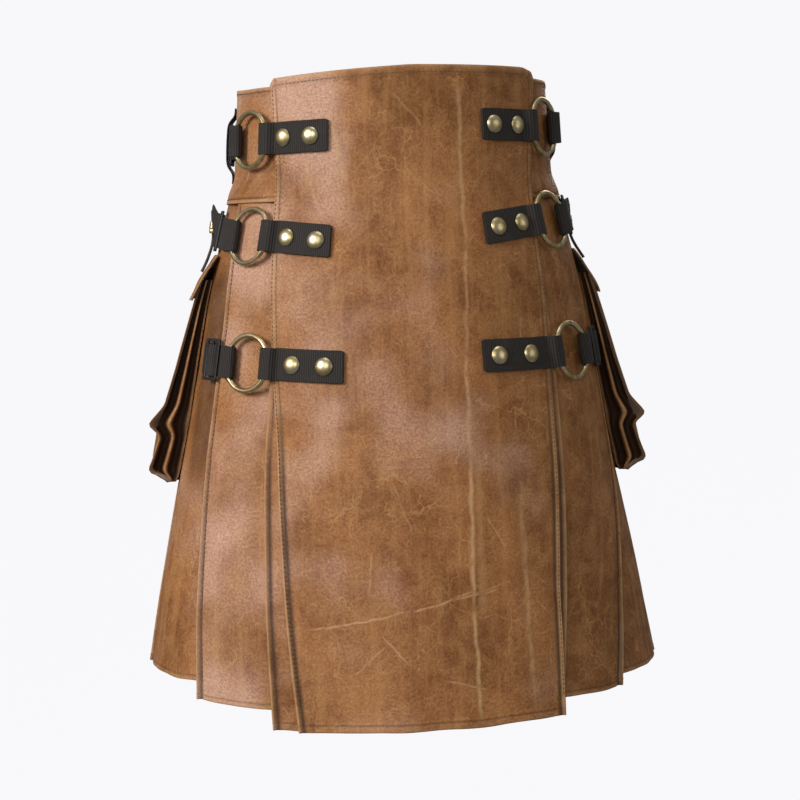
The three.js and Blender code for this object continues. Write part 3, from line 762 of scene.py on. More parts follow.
def stitches(name, lines, pitch=STITCH_PITCH):
    """Rows of thread stitches, each a small grain along its line. A line gives a point and its way out."""
    seed = bmesh.new()
    bmesh.ops.create_uvsphere(seed, u_segments=6, v_segments=4, radius=1)
    grain = [vert.co.copy() for vert in seed.verts]
    sides = [[vert.index for vert in face.verts] for face in seed.faces]
    seed.free()
    size = Matrix.Diagonal((pitch * 0.4 * MM, 0.5 * MM, 0.4 * MM, 1))
    points, faces = [], []
    for line in lines:
        gone = 0.0
        for (start, _), (end, away) in zip(line, line[1:]):
            run = end - start
            along = run.normalized()
            across = along.cross(away).normalized()
            turn = Matrix((along, across, along.cross(across))).transposed().to_4x4()
            while gone < run.length / MM:
                matrix = Matrix.Translation(start + along * gone * MM) @ turn @ size
                faces += [[len(points) + index for index in side] for side in sides]
                points += [matrix @ point for point in grain]
                gone += pitch
            gone -= run.length / MM
    mesh = bmesh.new()
    data = bpy.data.meshes.new(name)
    data.from_pydata(points, [], faces)
    mesh.from_mesh(data)
    bpy.data.meshes.remove(data)
    return finish_piece(name, mesh, (thread,))


# Relief on the leather
def hem_band(inside, lift=0.7, width=HEM_BAND):
    """How far a turned hem stands up at a distance in from the edge, with the dip of its stitch line."""
    edge = 1 - 0.7 * bell(inside, 1.1)
    return lift * edge * ease((width + 1.2 - inside) / 1.6) - 0.55 * bell(inside - width + 2, 0.9)


def pinched(inside, height, valley):
    """An edge stitched into a ridge, with the valley beside it."""
    return height * bell(inside - 0.9, 1.5) - valley * bell(inside - 5.2, 2.3)


def low_share(z):
    """How far a long edge has turned from a flat hem at the waist into a pinched ridge lower down."""
    return ease((-215 - z) / 130)


def edge_relief(inside, z):
    """A long edge's height, rub with painted highlight and dirt with painted shade at a distance in from
    it: the ridge's crest is painted pale and the valley beside it dark.
    """
    low = low_share(z)
    height = hem_band(inside) * (1 - low) + pinched(inside, 1.9, 0.75) * low
    rub_and_highlight = (0.3 * bell(inside - 1, 1.6) + 0.22 * ease((HEM_BAND - inside) / 2)) * (1 - low)
    # The pinched ridge's crest is painted pale as a highlight, and its valley dark as painted shade
    rub_and_highlight += 0.95 * bell(inside - 0.6, 1.5) * low
    dirt_and_shade = 0.5 * bell(inside - HEM_BAND + 1.6, 0.9) * (1 - low) + 0.88 * bell(inside - 4.8, 2.3) * low
    return height, rub_and_highlight, dirt_and_shade


def cross_relief(inside, width=HEM_BAND):
    """A top edge's or hem's height, how pale it is near the edge and how dark in its stitch line's dip, at
    a distance in from it.
    """
    rub_and_highlight = 0.35 * bell(inside - 0.8, 1.6) + 0.12 * ease((width - inside) / 2)
    return hem_band(inside, 0.6, width), rub_and_highlight, 0.4 * bell(inside - width + 1.6, 0.9)


def calm(degrees, z):
    """0 under the straps and rings, 1 well away from them, so that the leather is flat where they lie."""
    near = max(bell(z - row["z"], 34) for row in FASTENINGS if row["side"] == (1 if degrees > 0 else -1))
    return 1 - near * ease((abs(degrees) - 11) / 9)


def billow(degrees, z, seed, size=1.0):
    """The slow waves of hanging leather, always outwards."""
    slow = noise.noise(Vector((degrees / 13, z / 210, seed)))
    quick = noise.noise(Vector((degrees / 5.5, z / 75, seed + 7)))
    return size * (1.1 * (slow + 0.5) + 0.45 * (quick + 0.5)) * (0.35 + 0.65 * depth_share(z))


# Soft creases of the front apron: from a place to another, in degrees and height, depth and half width
APRON_CREASES = [
    ((24.5, 30), (24, -250), 0.35, 4),
    ((24, -240), (21, -540), 0.7, 5),
    ((33, -330), (29, -500), 0.5, 5),
    ((-12, -300), (-9, -420), 0.4, 7),
    ((4, -180), (1, -330), 0.3, 8),
    ((12, -400), (10, -545), 0.6, 8),
    ((-20, -420), (-17, -548), 0.6, 7),
    ((-30, -30), (-26, -80), 0.35, 6),
]


def creased(degrees, z, creases):
    """Soft ridges along listed lines."""
    total = 0.0
    for (from_angle, from_z), (to_angle, to_z), depth, reach in creases:
        share = (from_z - z) / (from_z - to_z)
        if -0.1 < share < 1.1:
            middle = from_angle + (to_angle - from_angle) * share
            ends = ease((share + 0.1) / 0.3) * ease((1.1 - share) / 0.3)
            total += depth * ends * bell((degrees - middle) * 3.6, reach)
    return total


def hem_wander(degrees, seed):
    """The hem's unevenness."""
    return 1.3 * noise.noise(Vector((degrees / 9, 0.5, seed)))


def corner_drop(degrees, near_side, near_right):
    """How far the top edge falls towards the left corner, and at both cut corners."""
    return 8 * clamp((3 - degrees) / 52) + 5 * ease((5 - near_side) / 5) + 4 * ease((8 - near_right) / 8)


def apron_sheet(edges, out_at, top, seed, creases, size):
    """An apron's grid: sides, top and hem turned and stitched."""
    width = girth(edges[-1](APRON_HEM), edges[1](APRON_HEM), APRON_HEM)
    columns = [step / width for step in stations(width)]
    rows = stations(top - APRON_HEM)

    def lay(share, fallen):
        z = top - fallen
        left, right = edges[-1](z), edges[1](z)
        degrees = left + (right - left) * share
        across = girth(left, degrees, z)
        whole = girth(left, right, z)
        near_side = min(across, whole - across)
        height, rub_and_highlight, dirt_and_shade = edge_relief(near_side, z)
        if share > 0.5:
            rub_and_highlight = max(rub_and_highlight, 0.7 * ease((6.5 - near_side) / 1.5) * low_share(z))
        near_end = min(fallen, z - APRON_HEM)
        end_height, end_rub_and_highlight, end_dirt_and_shade = cross_relief(near_end, 9 if z > -200 else HEM_BAND)
        wave = (billow(degrees, z, seed, size) + creased(degrees, z, creases)) * calm(degrees, z)
        wave *= ease(near_side / 14) * ease((top - z) / 14)
        out = out_at(z) + max(height, end_height) + wave + edge_curl(z) * bell(near_side, 7)
        drop = corner_drop(degrees, near_side, right - degrees) * ease((60 - fallen) / 60)
        drop += (5 - degrees / 12) * ease((fallen - 380) / 220)
        z_here = z + hem_wander(degrees, seed) * ease((fallen - 540) / 60) - drop
        flat = (girth(0, degrees, z), z)
        return place(degrees, z_here, out), flat, max(rub_and_highlight, end_rub_and_highlight), max(dirt_and_shade, end_dirt_and_shade)

    return draped(columns, rows, lay, shift=(seed * 400, 0))


def panel_area(edges, top, hem):
    """A panel's flat area in square metres, from its widths down its length."""
    steps = 12
    drop = (top - hem) / steps
    heights = [top - (i + 0.5) * drop for i in range(steps)]
    widths = [girth(edges[-1](z), edges[1](z), z) for z in heights]
    return sum(width * drop for width in widths) * DOWN_THE_SLOPE * MM * MM


def make_aprons():
    hem_width = girth(apron_edge[-1](APRON_HEM), apron_edge[1](APRON_HEM), APRON_HEM) * MM
    top_width = girth(apron_edge[-1](APRON_TOP), apron_edge[1](APRON_TOP), APRON_TOP) * MM
    front = apron_sheet(apron_edge, apron_out, APRON_TOP, 0, APRON_CREASES, 1.0)
    area = panel_area(apron_edge, APRON_TOP, APRON_HEM)
    leather_piece("front_apron", front, "apron_front",
                  apron_leather, apron_tone)
    under = apron_sheet(under_edge, under_out, UNDER_TOP, 3, (), 0.15)
    area = panel_area(under_edge, UNDER_TOP, APRON_HEM)
    leather_piece("under_apron", under, "apron_under")


def yoke_out(z):
    """The yoke's face: on the form, lapping over the pleats' tops at its lower edge."""
    return 3.9 * ease((-44 - z) / 20)


def yoke_drop(degrees):
    """How far the yoke's top edge falls towards its left end."""
    return 6 * ease((degrees - 245) / 50)


def make_yoke():
    tucked = 40
    seam = YOKE_SEAM - 3
    columns = [tucked + (360 - 2 * tucked) * i / 150 for i in range(151)]
    rows = stations(YOKE_TOP - seam, 1.1, 9, 5)

    def lay(degrees, fallen):
        z = YOKE_TOP - fallen
        height, rub_and_highlight, dirt_and_shade = cross_relief(fallen, 6)
        low = z - seam
        seam_height = 0.35 * ease((5 - low) / 2) - 0.4 * bell(low - 4.2, 0.8)
        rub_and_highlight = max(rub_and_highlight, 0.6 * bell(low - 1.2, 1.6))
        dirt_and_shade = max(dirt_and_shade, 0.5 * bell(low - 4.6, 0.9))
        wave = 0.5 * noise.noise(Vector((degrees / 9, z / 40, 5))) * ease(fallen / 14) * ease(low / 14)
        out = yoke_out(z) + height + seam_height + wave
        z_here = z - yoke_drop(degrees) * ease((50 - fallen) / 50)
        return place(degrees, z_here, out), (girth(0, degrees, z, 24), z), rub_and_highlight, dirt_and_shade

    mesh = draped(columns, rows, lay, shift=(900, 300))
    length = girth(tucked, 360 - tucked, seam, 24) * MM
    leather_piece("yoke_band", mesh, "yoke")


PLEAT_DROPS = {-1: [5, 5, 5, 5, 5], 1: [5, 12, 9, 7, 5]}
PLEAT_TONES = {-1: [0.56, 0.42, 0.5, 0.42, 0.55], 1: [0.36, 0.5, 0.4, 0.5, 0.45]}


def pleat_height(inside, width, z, index):
    """The middle line of a pleat off the form, at a distance in from its fold."""
    front = -1.5 - 2 * pleat_opening(z) if index == 0 else tuck_depth(z)
    fold = fold_out(z)
    run = width - PLEAT_TUCK - 5 - 9
    share = clamp((inside - 9) / run)
    return fold + (front + 0.3 - fold) * share * share


def make_pleat(index, side):
    hem = FIRST_PLEAT_HEM if index == 0 else BACK_PLEAT_HEM
    top = YOKE_SEAM + 1
    sign = SIGN[side]
    seed = 11 + index + (5 if side < 0 else 0)

    def reach(z):
        start = abs(under_edge[side](z)) if index == 0 else fold_angle(index - 1, side, z)
        return girth(start, fold_angle(index, side, z), z) + PLEAT_TUCK

    widest = reach(hem)
    front_run = [0, 0.5, 1, 1.6, 2.3, 3.1, 4, 5, 6, 7.2, 8.6, 10.4]
    fine = front_run[-1]
    count = round((widest - fine) / 5.5)
    front_run += [fine + (widest - fine) * i / count for i in range(1, count + 1)]
    columns = [-26, -18, -10, -4, -1.6] + front_run

    def lay(inside, fallen):
        z = top - fallen
        opening = pleat_opening(z)
        fold = fold_angle(index, side, z)
        width = reach(z)
        low = z - hem
        if inside < 0:
            under = -inside
            height = fold_out(z) - 2.0 - opening - 0.5 * ease(under / 10) + 0.9 * bell(under, 2)
            point = place(side * walk(fold, -under - 0.4, z), z, height)
            return point, (60 + under, z), 0.2 * bell(under, 3), 0.1
        run = inside if inside <= fine else fine + (inside - fine) * (width - fine) / (widest - fine)
        height = pleat_height(run, width, z, index) + LEATHER / 2
        ridge = pinched(run, 1.1 + 1.5 * opening, 0.5 + 0.5 * opening)
        band = hem_band(run, 0.4)
        height += band * (1 - opening) + ridge * (0.35 + 0.65 * opening)
        end_height, end_rub_and_highlight, end_dirt_and_shade = cross_relief(low, 6)
        height += 0.6 * end_height if low < 12 else 0
        free = ease((width - PLEAT_TUCK - run) / 18) * ease((run - 8) / 14)
        still = ease(fallen / 60) * calm_side(side, z)
        height += billow(side * fold - side * run / 3, z, seed, 1.5) * free * still
        # The fold's crest is painted pale, partly as highlight, and the valley beside it dark, partly as
        # painted shade
        rub_and_highlight = max((0.25 + 0.7 * opening) * bell(run - 0.7, 1.5), end_rub_and_highlight)
        dirt_and_shade = max((0.25 + 0.6 * opening) * bell(run - 4.4, 2.1), end_dirt_and_shade)
        past = width - PLEAT_TUCK - run
        # Painted shade in the recess under the previous pleat's fold
        shaded = 0.75 * ease((14 - past) / 12)
        # Painted shadow on the second pleat's strip beside the pocket
        if index == 1:
            pocket_shadow = ease((62 - past) / 24) * ease((z + 375) / 60) * ease((-110 - z) / 40)
            shaded = max(shaded, 0.55 * pocket_shadow)
        dirt_and_shade = max(dirt_and_shade, shaded * (index > 0))
        fall = hem_wander(side * run / 4, seed) - PLEAT_DROPS[side][index]
        z_here = z + fall * ease((160 - low) / 160)
        return place(side * walk(fold, -run + 0.3, z), z_here, height), (run, z), rub_and_highlight, dirt_and_shade

    rows = [0] + [step for step in stations(top - hem, 1.2, 8, 5) if step > 0]
    mesh = draped(columns, rows, lay, shift=(1500 + 300 * seed, 100 * index), turned=side > 0)
    mean_width = sum(reach(top - (i + 0.5) * (top - hem) / 8) + 27 for i in range(8)) / 8
    leather_piece(f"{sign}_pleat_{index + 1}", mesh, f"pleat_{sign}_{index + 1}",
                  tone=PLEAT_TONES[side][index])


def calm_side(side, z):
    """Flat leather where the back straps lie on the pleats."""
    near = max(bell(z - row["z"], 30) for row in FASTENINGS if row["side"] == side)
    return 1 - near


def make_back_panel():
    """The centre back panel, under the last fold of each side."""
    last = len(FOLD_SHARES) - 1
    top, hem = YOKE_SEAM + 1, BACK_PLEAT_HEM
    columns = [i / 36 for i in range(37)]
    rows = stations(top - hem, 1.5, 9, 6)

    def lay(share, fallen):
        z = top - fallen
        start = walk(fold_angle(last, 1, z), -PLEAT_TUCK, z)
        end = 360 - walk(fold_angle(last, -1, z), -PLEAT_TUCK, z)
        degrees = start + (end - start) * share
        height, rub_and_highlight, dirt_and_shade = cross_relief(z - hem, 6)
        wave = 1.6 * noise.noise(Vector((degrees / 11, z / 160, 31))) * ease(fallen / 60)
        out = tuck_depth(z) + LEATHER / 2 + height + min(0, wave)
        return place(degrees, z, out), (girth(180, degrees, z), z), rub_and_highlight, dirt_and_shade

    mesh = draped(columns, rows, lay, shift=(5200, 0))
    wide = girth(walk(fold_angle(last, 1, hem), -PLEAT_TUCK, hem),
                 360 - walk(fold_angle(last, -1, hem), -PLEAT_TUCK, hem), hem) * MM
    leather_piece("back_panel", mesh, "pleat_back")


def seam_line(angle_at, out_at, top, hem, step=9):
    """A line of stitching down the body, as points with the way out of the leather."""
    line = []
    z = top
    while z > hem:
        here = place(angle_at(z), z, out_at(z))
        away = (place(angle_at(z), z, out_at(z) + 5) - here).normalized()
        line.append((here, away))
        z -= step
    return line


def level_line(z, out, start, end, count=40, drop=None):
    """A line of stitching round the body, level or following an edge that drops."""
    line = []
    for i in range(count + 1):
        degrees = start + (end - start) * i / count
        low = z - (drop(degrees) if drop else 0)
        here = place(degrees, low, out)
        line.append((here, (place(degrees, low, out + 5) - here).normalized()))
    return line


def edge_height(inside, z):
    """How far thread on a long edge lies off the apron's face."""
    return edge_relief(inside, z)[0] + 0.1 + edge_curl(z) * bell(inside, 7)


def make_stitching():
    """The visible rows of stitching on the aprons, yoke and pleats."""
    apron = []
    for side in (-1, 1):
        for inset in (HEM_BAND - 2, 1.8):
            angle = lambda z, side=side, inset=inset: walk(apron_edge[side](z), -side * inset, z)
            out = lambda z, inset=inset: apron_out(z) + edge_height(inset, z)
            below_top = 20 if side < 0 else 12
            apron.append(seam_line(angle, out, APRON_TOP - below_top, APRON_HEM + 8))
    left, right, far = apron_edge[-1], apron_edge[1], 99
    for z, out, drop in (
        (APRON_TOP - 7, cross_relief(7, 9)[0], lambda degrees: corner_drop(degrees, far, far)),
        (APRON_HEM + 6, cross_relief(6)[0], lambda degrees: 5 - degrees / 12),
    ):
        apron.append(level_line(z, apron_out(z) + out + 0.15, left(z) + 3, right(z) - 3, 40, drop))
    stitches("apron_stitching", apron)
    under = []
    valley = 5.4
    for side in (-1, 1):
        angle = lambda z, side=side: walk(under_edge[side](z), -side * valley, z)
        out = lambda z: under_out(z) + edge_height(valley, z)
        under.append(seam_line(angle, out, -240, APRON_HEM + 4))
    stitches("under_apron_stitching", under)
    seam = YOKE_SEAM + 1.2
    band = [level_line(YOKE_TOP - 4, 0.45, 50, 310, 90, yoke_drop),
            level_line(seam, yoke_out(seam) + 0.2, 50, 310, 90)]
    stitches("yoke_stitching", band)
    folds = []
    for side in (-1, 1):
        for index in range(len(FOLD_SHARES)):
            hem = FIRST_PLEAT_HEM if index == 0 else BACK_PLEAT_HEM
            angle = lambda z, side=side, index=index: side * walk(fold_angle(index, side, z), -valley, z)
            out = lambda z: fold_out(z) + LEATHER / 2 + 0.15 - 0.6 * pleat_opening(z)
            folds.append(seam_line(angle, out, YOKE_SEAM - 8, hem + 3))
    stitches("pleat_stitching", folds)


# Straps of webbing
def frame_at(degrees, z, out):
    """The directions at a point of the body: round it, up it and straight out of it."""
    around = (place(degrees + 0.5, z, out) - place(degrees - 0.5, z, out)).normalized()
    slope = place(degrees, z + 4, out) - place(degrees, z - 4, out)
    away = around.cross(slope).normalized()
    return place(degrees, z, out), around, away.cross(around), away


def set_on(degrees, z, out, spin=0.0):
    """A matrix that sets a shape on the body: its X runs round, its Y up and its Z straight out."""
    origin, around, up, away = frame_at(degrees, z, out)
    turn = Matrix((around, up, away)).transposed().to_4x4()
    return Matrix.Translation(origin) @ turn @ Matrix.Rotation(spin, 4, "Z")


def wire_away(z):
    """How far the ring's wire lies off the form."""
    return apron_out(z) + LAY_GAP + WEBBING + RING_CLEARANCE + RING_WIRE + 0.7


def ring_away(row):
    """How far a flat ring's middle lies off the form, so that its wire clears the round body."""
    z = row["z"]
    bend = (per_degree(row["ring"], z) / math.radians(1)) ** 3 / (half_width(z) * half_depth(z))
    bend += wire_away(z)
    return wire_away(z) - RING_RADIUS**2 / (2 * bend)


def smooth_run(points, step=1.6):
    """A soft line through points (u, n, half, climb, held), with a point every step or so."""
    def value(name, before, start, end, after, share):
        a, b, c, d = before[name], start[name], end[name], after[name]
        bend = 2 * a - 5 * b + 4 * c - d + share * (3 * (b - c) + d - a)
        return b + 0.5 * share * (c - a + share * bend)

    run = []
    for i in range(len(points) - 1):
        before, start = points[max(i - 1, 0)], points[i]
        end, after = points[i + 1], points[min(i + 2, len(points) - 1)]
        count = max(1, round(math.hypot(end["u"] - start["u"], end["n"] - start["n"]) / step))
        for k in range(count):
            share = k / count
            made = {name: value(name, before, start, end, after, share) for name in ("u", "n")}
            for name in ("half", "climb", "held"):
                made[name] = start[name] + (end[name] - start[name]) * share
            run.append(made)
    run.append(points[-1])
    return run


def knot(u, n, half=STRAP_WIDTH / 2, climb=0.0, held=0.0):
    """A point of a strap's side view: how far round and out, half width, climb and hold by the ring."""
    return {"u": u, "n": n, "half": half, "climb": climb, "held": held}


def lengths_along(run):
    """The distance along a run at each of its points."""
    lengths = [0.0]
    for a, b in zip(run, run[1:]):
        lengths.append(lengths[-1] + math.hypot(b["u"] - a["u"], b["n"] - a["n"]))
    return lengths


def turn_round(wire_out, mirror):
    """The webbing's turn round the ring's wire, from its lower layer to its upper one."""
    inside = RING_RADIUS - 5.6
    radius = RING_WIRE + RING_CLEARANCE + WEBBING / 2
    turn = [knot(mirror * (-RING_RADIUS - 3.5), wire_out - radius, held=1)]
    for i in range(7):
        angle = -math.pi / 2 + math.pi * i / 6
        u = mirror * (-inside + radius * math.cos(angle))
        turn.append(knot(u, wire_out + radius * math.sin(angle), held=1))
    turn.append(knot(mirror * (-RING_RADIUS - 3.5), wire_out + radius, held=1))
    return turn


def strap(name, row, line, node):
    """A strap of webbing from its side view."""
    side, z, ring, rise = row["side"], row["z"], row["ring"], row["rise"]
    origin, around, up, away = frame_at(side * ring, z, ring_away(row))
    run = smooth_run(line)
    seed = sum(map(ord, name)) % 97
    lengths = lengths_along(run)
    whole = lengths[-1]
    widths = [-1, -0.985, -0.9, -0.6, -0.2, 0.2, 0.6, 0.9, 0.985, 1]

    def lay(index, share):
        spot = run[index]
        u, n = spot["u"], spot["n"]
        near_end = min(lengths[index], whole - lengths[index])
        corner = 1.2 * bell(near_end, 1.4)
        wobble = 0.22 * noise.noise(Vector((u / 14, n / 9, seed)))
        half = spot["half"] - corner + wobble
        past = max(0, abs(u) - RING_RADIUS) * (1 if u > 0 else -1)
        height = rise * past + spot["climb"] + share * half
        flat = place(side * walk(ring, u, z), z + height, n)
        held = origin + (around * side * u + away * (n - wire_away(z)) + up * height) * MM
        point = flat.lerp(held, clamp(spot["held"]))
        return point, (lengths[index], share * 15), 0, 0

    mesh = draped(list(range(len(run))), list(reversed(widths)), lay, shift=(seed * 7, 0))
    made = finish_piece(name, mesh, (webbing,), [node])
    thicken(made, WEBBING, 0)
    soft = made.modifiers.new("soft_edges", "BEVEL")
    soft.width = 0.35 * MM
    soft.segments = 2
    soft.limit_method = "ANGLE"
    soft.angle_limit = math.radians(50)


def front_strap(row):
    """A strap from the apron, round the ring and back again."""
    z, end, ring = row["z"], row["end"], row["ring"]
    low = apron_out(z) + LAY_GAP + WEBBING / 2
    high = low + WEBBING + RING_CLEARANCE
    inner, near_ring = -girth(end, ring, z), -RING_RADIUS - 8
    flat = [inner + (near_ring - inner) * i / 5 for i in range(6)]
    line = [knot(u, low) for u in flat] + turn_round(wire_away(z), 1)
    line += [knot(u, high) for u in reversed(flat)]
    strap(f"front_strap_{row['name']}", row, line, f"strap_front_{row['name']}")


def back_face(z):
    """What a back strap lies on: the yoke, or the first pleat's face."""
    return 0 if z > YOKE_SEAM else fold_face(z)


def back_strap(row):
    """A strap looped round the ring, threaded through its slider and on to its tip."""
    z, reach, tail, side = row["z"], row["reach"], row["tail"], row["side"]
    low = back_face(z) + LAY_GAP + WEBBING / 2
    high = low + WEBBING + RING_CLEARANCE
    over = SLIDER["thickness"] + WEBBING + 1
    edge = SLIDER["length"] / 2 - SLIDER["bar"]
    doubled = reach - SLIDER["length"] / 2 - 3
    line = [knot(doubled, low), knot(36, low)] + turn_round(wire_away(z), -1)
    line += [knot(36, high), knot(doubled, high)]
    line += [knot(reach - edge + 1, low + 0.2), knot(reach - 4, low + over)]
    line += [knot(reach + 4, low + over), knot(reach + edge - 1, low + 0.2)]
    line.append(knot(reach + SLIDER["length"] / 2 + 2.5, low))
    if row["name"].endswith("middle"):
        tip = TAIL_TIP[side]
        between = (reach + SLIDER["length"] / 2 + tail) / 2
        line.append(knot(between, low + 0.4 * tip["lift"], 10, 0.3 * tip["climb"]))
        line.append(knot(tail, tip["lift"], TAIL_TIP["half"], tip["climb"]))
    else:
        line.append(knot(tail, low))
    strap(f"back_strap_{row['name']}", row, line, f"strap_back_{row['name']}")


def set_piece(name, mesh, matrix, material, node):
    bmesh.ops.transform(mesh, matrix=matrix, verts=mesh.verts)
    return finish_piece(name, mesh, (material,), [node])


def ring_mesh():
    """A round wire ring."""
    mesh = bmesh.new()
    turn = Matrix.Translation((RING_RADIUS * MM, 0, 0)) @ Matrix.Rotation(math.pi / 2, 4, "X")
    bmesh.ops.create_circle(mesh, segments=18, radius=RING_WIRE * MM, matrix=turn)
    bmesh.ops.spin(mesh, geom=mesh.verts[:] + mesh.edges[:], axis=(0, 0, 1), cent=(0, 0, 0),
                   steps=72, angle=2 * math.pi, use_merge=True)
    bmesh.ops.remove_doubles(mesh, verts=mesh.verts, dist=1e-6)
    bmesh.ops.recalc_face_normals(mesh, faces=mesh.faces)
    return mesh


def turned_mesh(profile, steps=40):
    """A turned piece from its profile of radius and height, in millimetres."""
    mesh = bmesh.new()
    points = [mesh.verts.new((radius * MM, 0, height * MM)) for radius, height in profile]
    edges = [mesh.edges.new(pair) for pair in zip(points, points[1:])]
    bmesh.ops.spin(mesh, geom=points + edges, axis=(0, 0, 1), cent=(0, 0, 0),
                   steps=steps, angle=2 * math.pi, use_merge=True)
    bmesh.ops.remove_doubles(mesh, verts=mesh.verts, dist=1e-6)
    bmesh.ops.recalc_face_normals(mesh, faces=mesh.faces)
    return mesh


# A snap's cap: a plain dome with a thin rolled foot
SNAP_PROFILE = [(0, 3.6), (2, 3.5), (4, 3.15), (5.8, 2.55), (7.1, 1.85), (7.9, 1.2), (8.15, 0.95),
                (SNAP_RADIUS, 0.75), (SNAP_RADIUS, 0.3), (8.2, 0), (0, 0)]


def slider_mesh():
    """A three-bar slider: a flat frame with two windows, its edges rounded."""
    length, height, bar = SLIDER["length"] / 2, SLIDER["height"] / 2, SLIDER["bar"]
    across = [-length, -length + bar, -bar / 2, bar / 2, length - bar, length]
    up = [-height, -height + bar - 1, height - bar + 1, height]
    mesh = bmesh.new()
    bmesh.ops.create_grid(mesh, x_segments=5, y_segments=3, size=0.5)
    windows = [face for face in mesh.faces
               if abs(face.calc_center_median().y) < 0.1 and 0.1 < abs(face.calc_center_median().x) < 0.3]
    bmesh.ops.delete(mesh, geom=windows, context="FACES_ONLY")
    for vert in mesh.verts:
        i, j = round((vert.co.x + 0.5) * 5), round((vert.co.y + 0.5) * 3)
        vert.co = Vector((across[i] * MM, up[j] * MM, 0))
    near_corner = (length - 0.1) * MM, (height - 0.5) * MM
    corners = [vert for vert in mesh.verts
               if abs(vert.co.x) > near_corner[0] and abs(vert.co.y) > near_corner[1]]
    bmesh.ops.bevel(mesh, geom=corners, offset=2 * MM, segments=4, profile=0.5,
                    affect="VERTICES", material=-1)
    grown = bmesh.ops.extrude_face_region(mesh, geom=mesh.faces[:])
    bmesh.ops.translate(mesh, vec=(0, 0, SLIDER["thickness"] * MM),
                        verts=[part for part in grown["geom"] if isinstance(part, bmesh.types.BMVert)])
    bmesh.ops.recalc_face_normals(mesh, faces=mesh.faces)
    sharp = [edge for edge in mesh.edges if edge.is_manifold and edge.calc_face_angle(0) > 0.6]
    bmesh.ops.bevel(mesh, geom=sharp, offset=0.55 * MM, segments=2, profile=0.5,
                    affect="EDGES", material=-1)
    return mesh


def make_fastenings():
    for row in FASTENINGS:
        name, side, z, ring = row["name"], row["side"], row["z"], row["ring"]
        front_strap(row)
        back_strap(row)
        set_piece(f"wire_ring_{name}", ring_mesh(), set_on(side * ring, z, ring_away(row)), brass,
                  f"ring_{name}")
        slider_z = z + row["rise"] * (row["reach"] - RING_RADIUS)
        slider_out = back_face(z) + LAY_GAP + WEBBING + 0.5
        set_piece(f"strap_slider_{name}", slider_mesh(),
                  set_on(side * walk(ring, row["reach"], z), slider_z, slider_out), enamel,
                  f"slider_{name}")
        for i, angle in enumerate(row["snaps"]):
            height = z - row["rise"] * (girth(angle, ring, z) - RING_RADIUS)
            top = apron_out(z) + LAY_GAP + 2 * WEBBING + RING_CLEARANCE
            set_piece(f"snap_cap_{name}_{i + 1}", turned_mesh(SNAP_PROFILE),
                      set_on(side * angle, height, top + 0.3), brass, f"snap_{name}_{i + 1}")


def make_belt_loop(side):
    """A vertical strip of webbing, bowed out over the top row's back strap."""
    z = FASTENINGS[0 if side < 0 else 1]["z"]
    middle = BELT_LOOP_ANGLE[side]
    run = smooth_run([knot(up, out) for up, out in BELT_LOOP], 1.5)
    lengths = lengths_along(run)
    widths = [-1, -0.97, -0.85, -0.4, 0, 0.4, 0.85, 0.97, 1]

    def lay(share, index):
        spot = run[index]
        height = z + spot["u"]
        angle = side * walk(middle, side * share * BELT_LOOP_WIDTH / 2, height)
        return place(angle, height, spot["n"]), (lengths[index], share * 11), 0, 0

    mesh = draped(widths, list(range(len(run))), lay)
    sign = SIGN[side]
    made = finish_piece(f"waist_loop_{sign}", mesh, (webbing,), [f"belt_loop_{sign}"])
    thicken(made, WEBBING, 0)


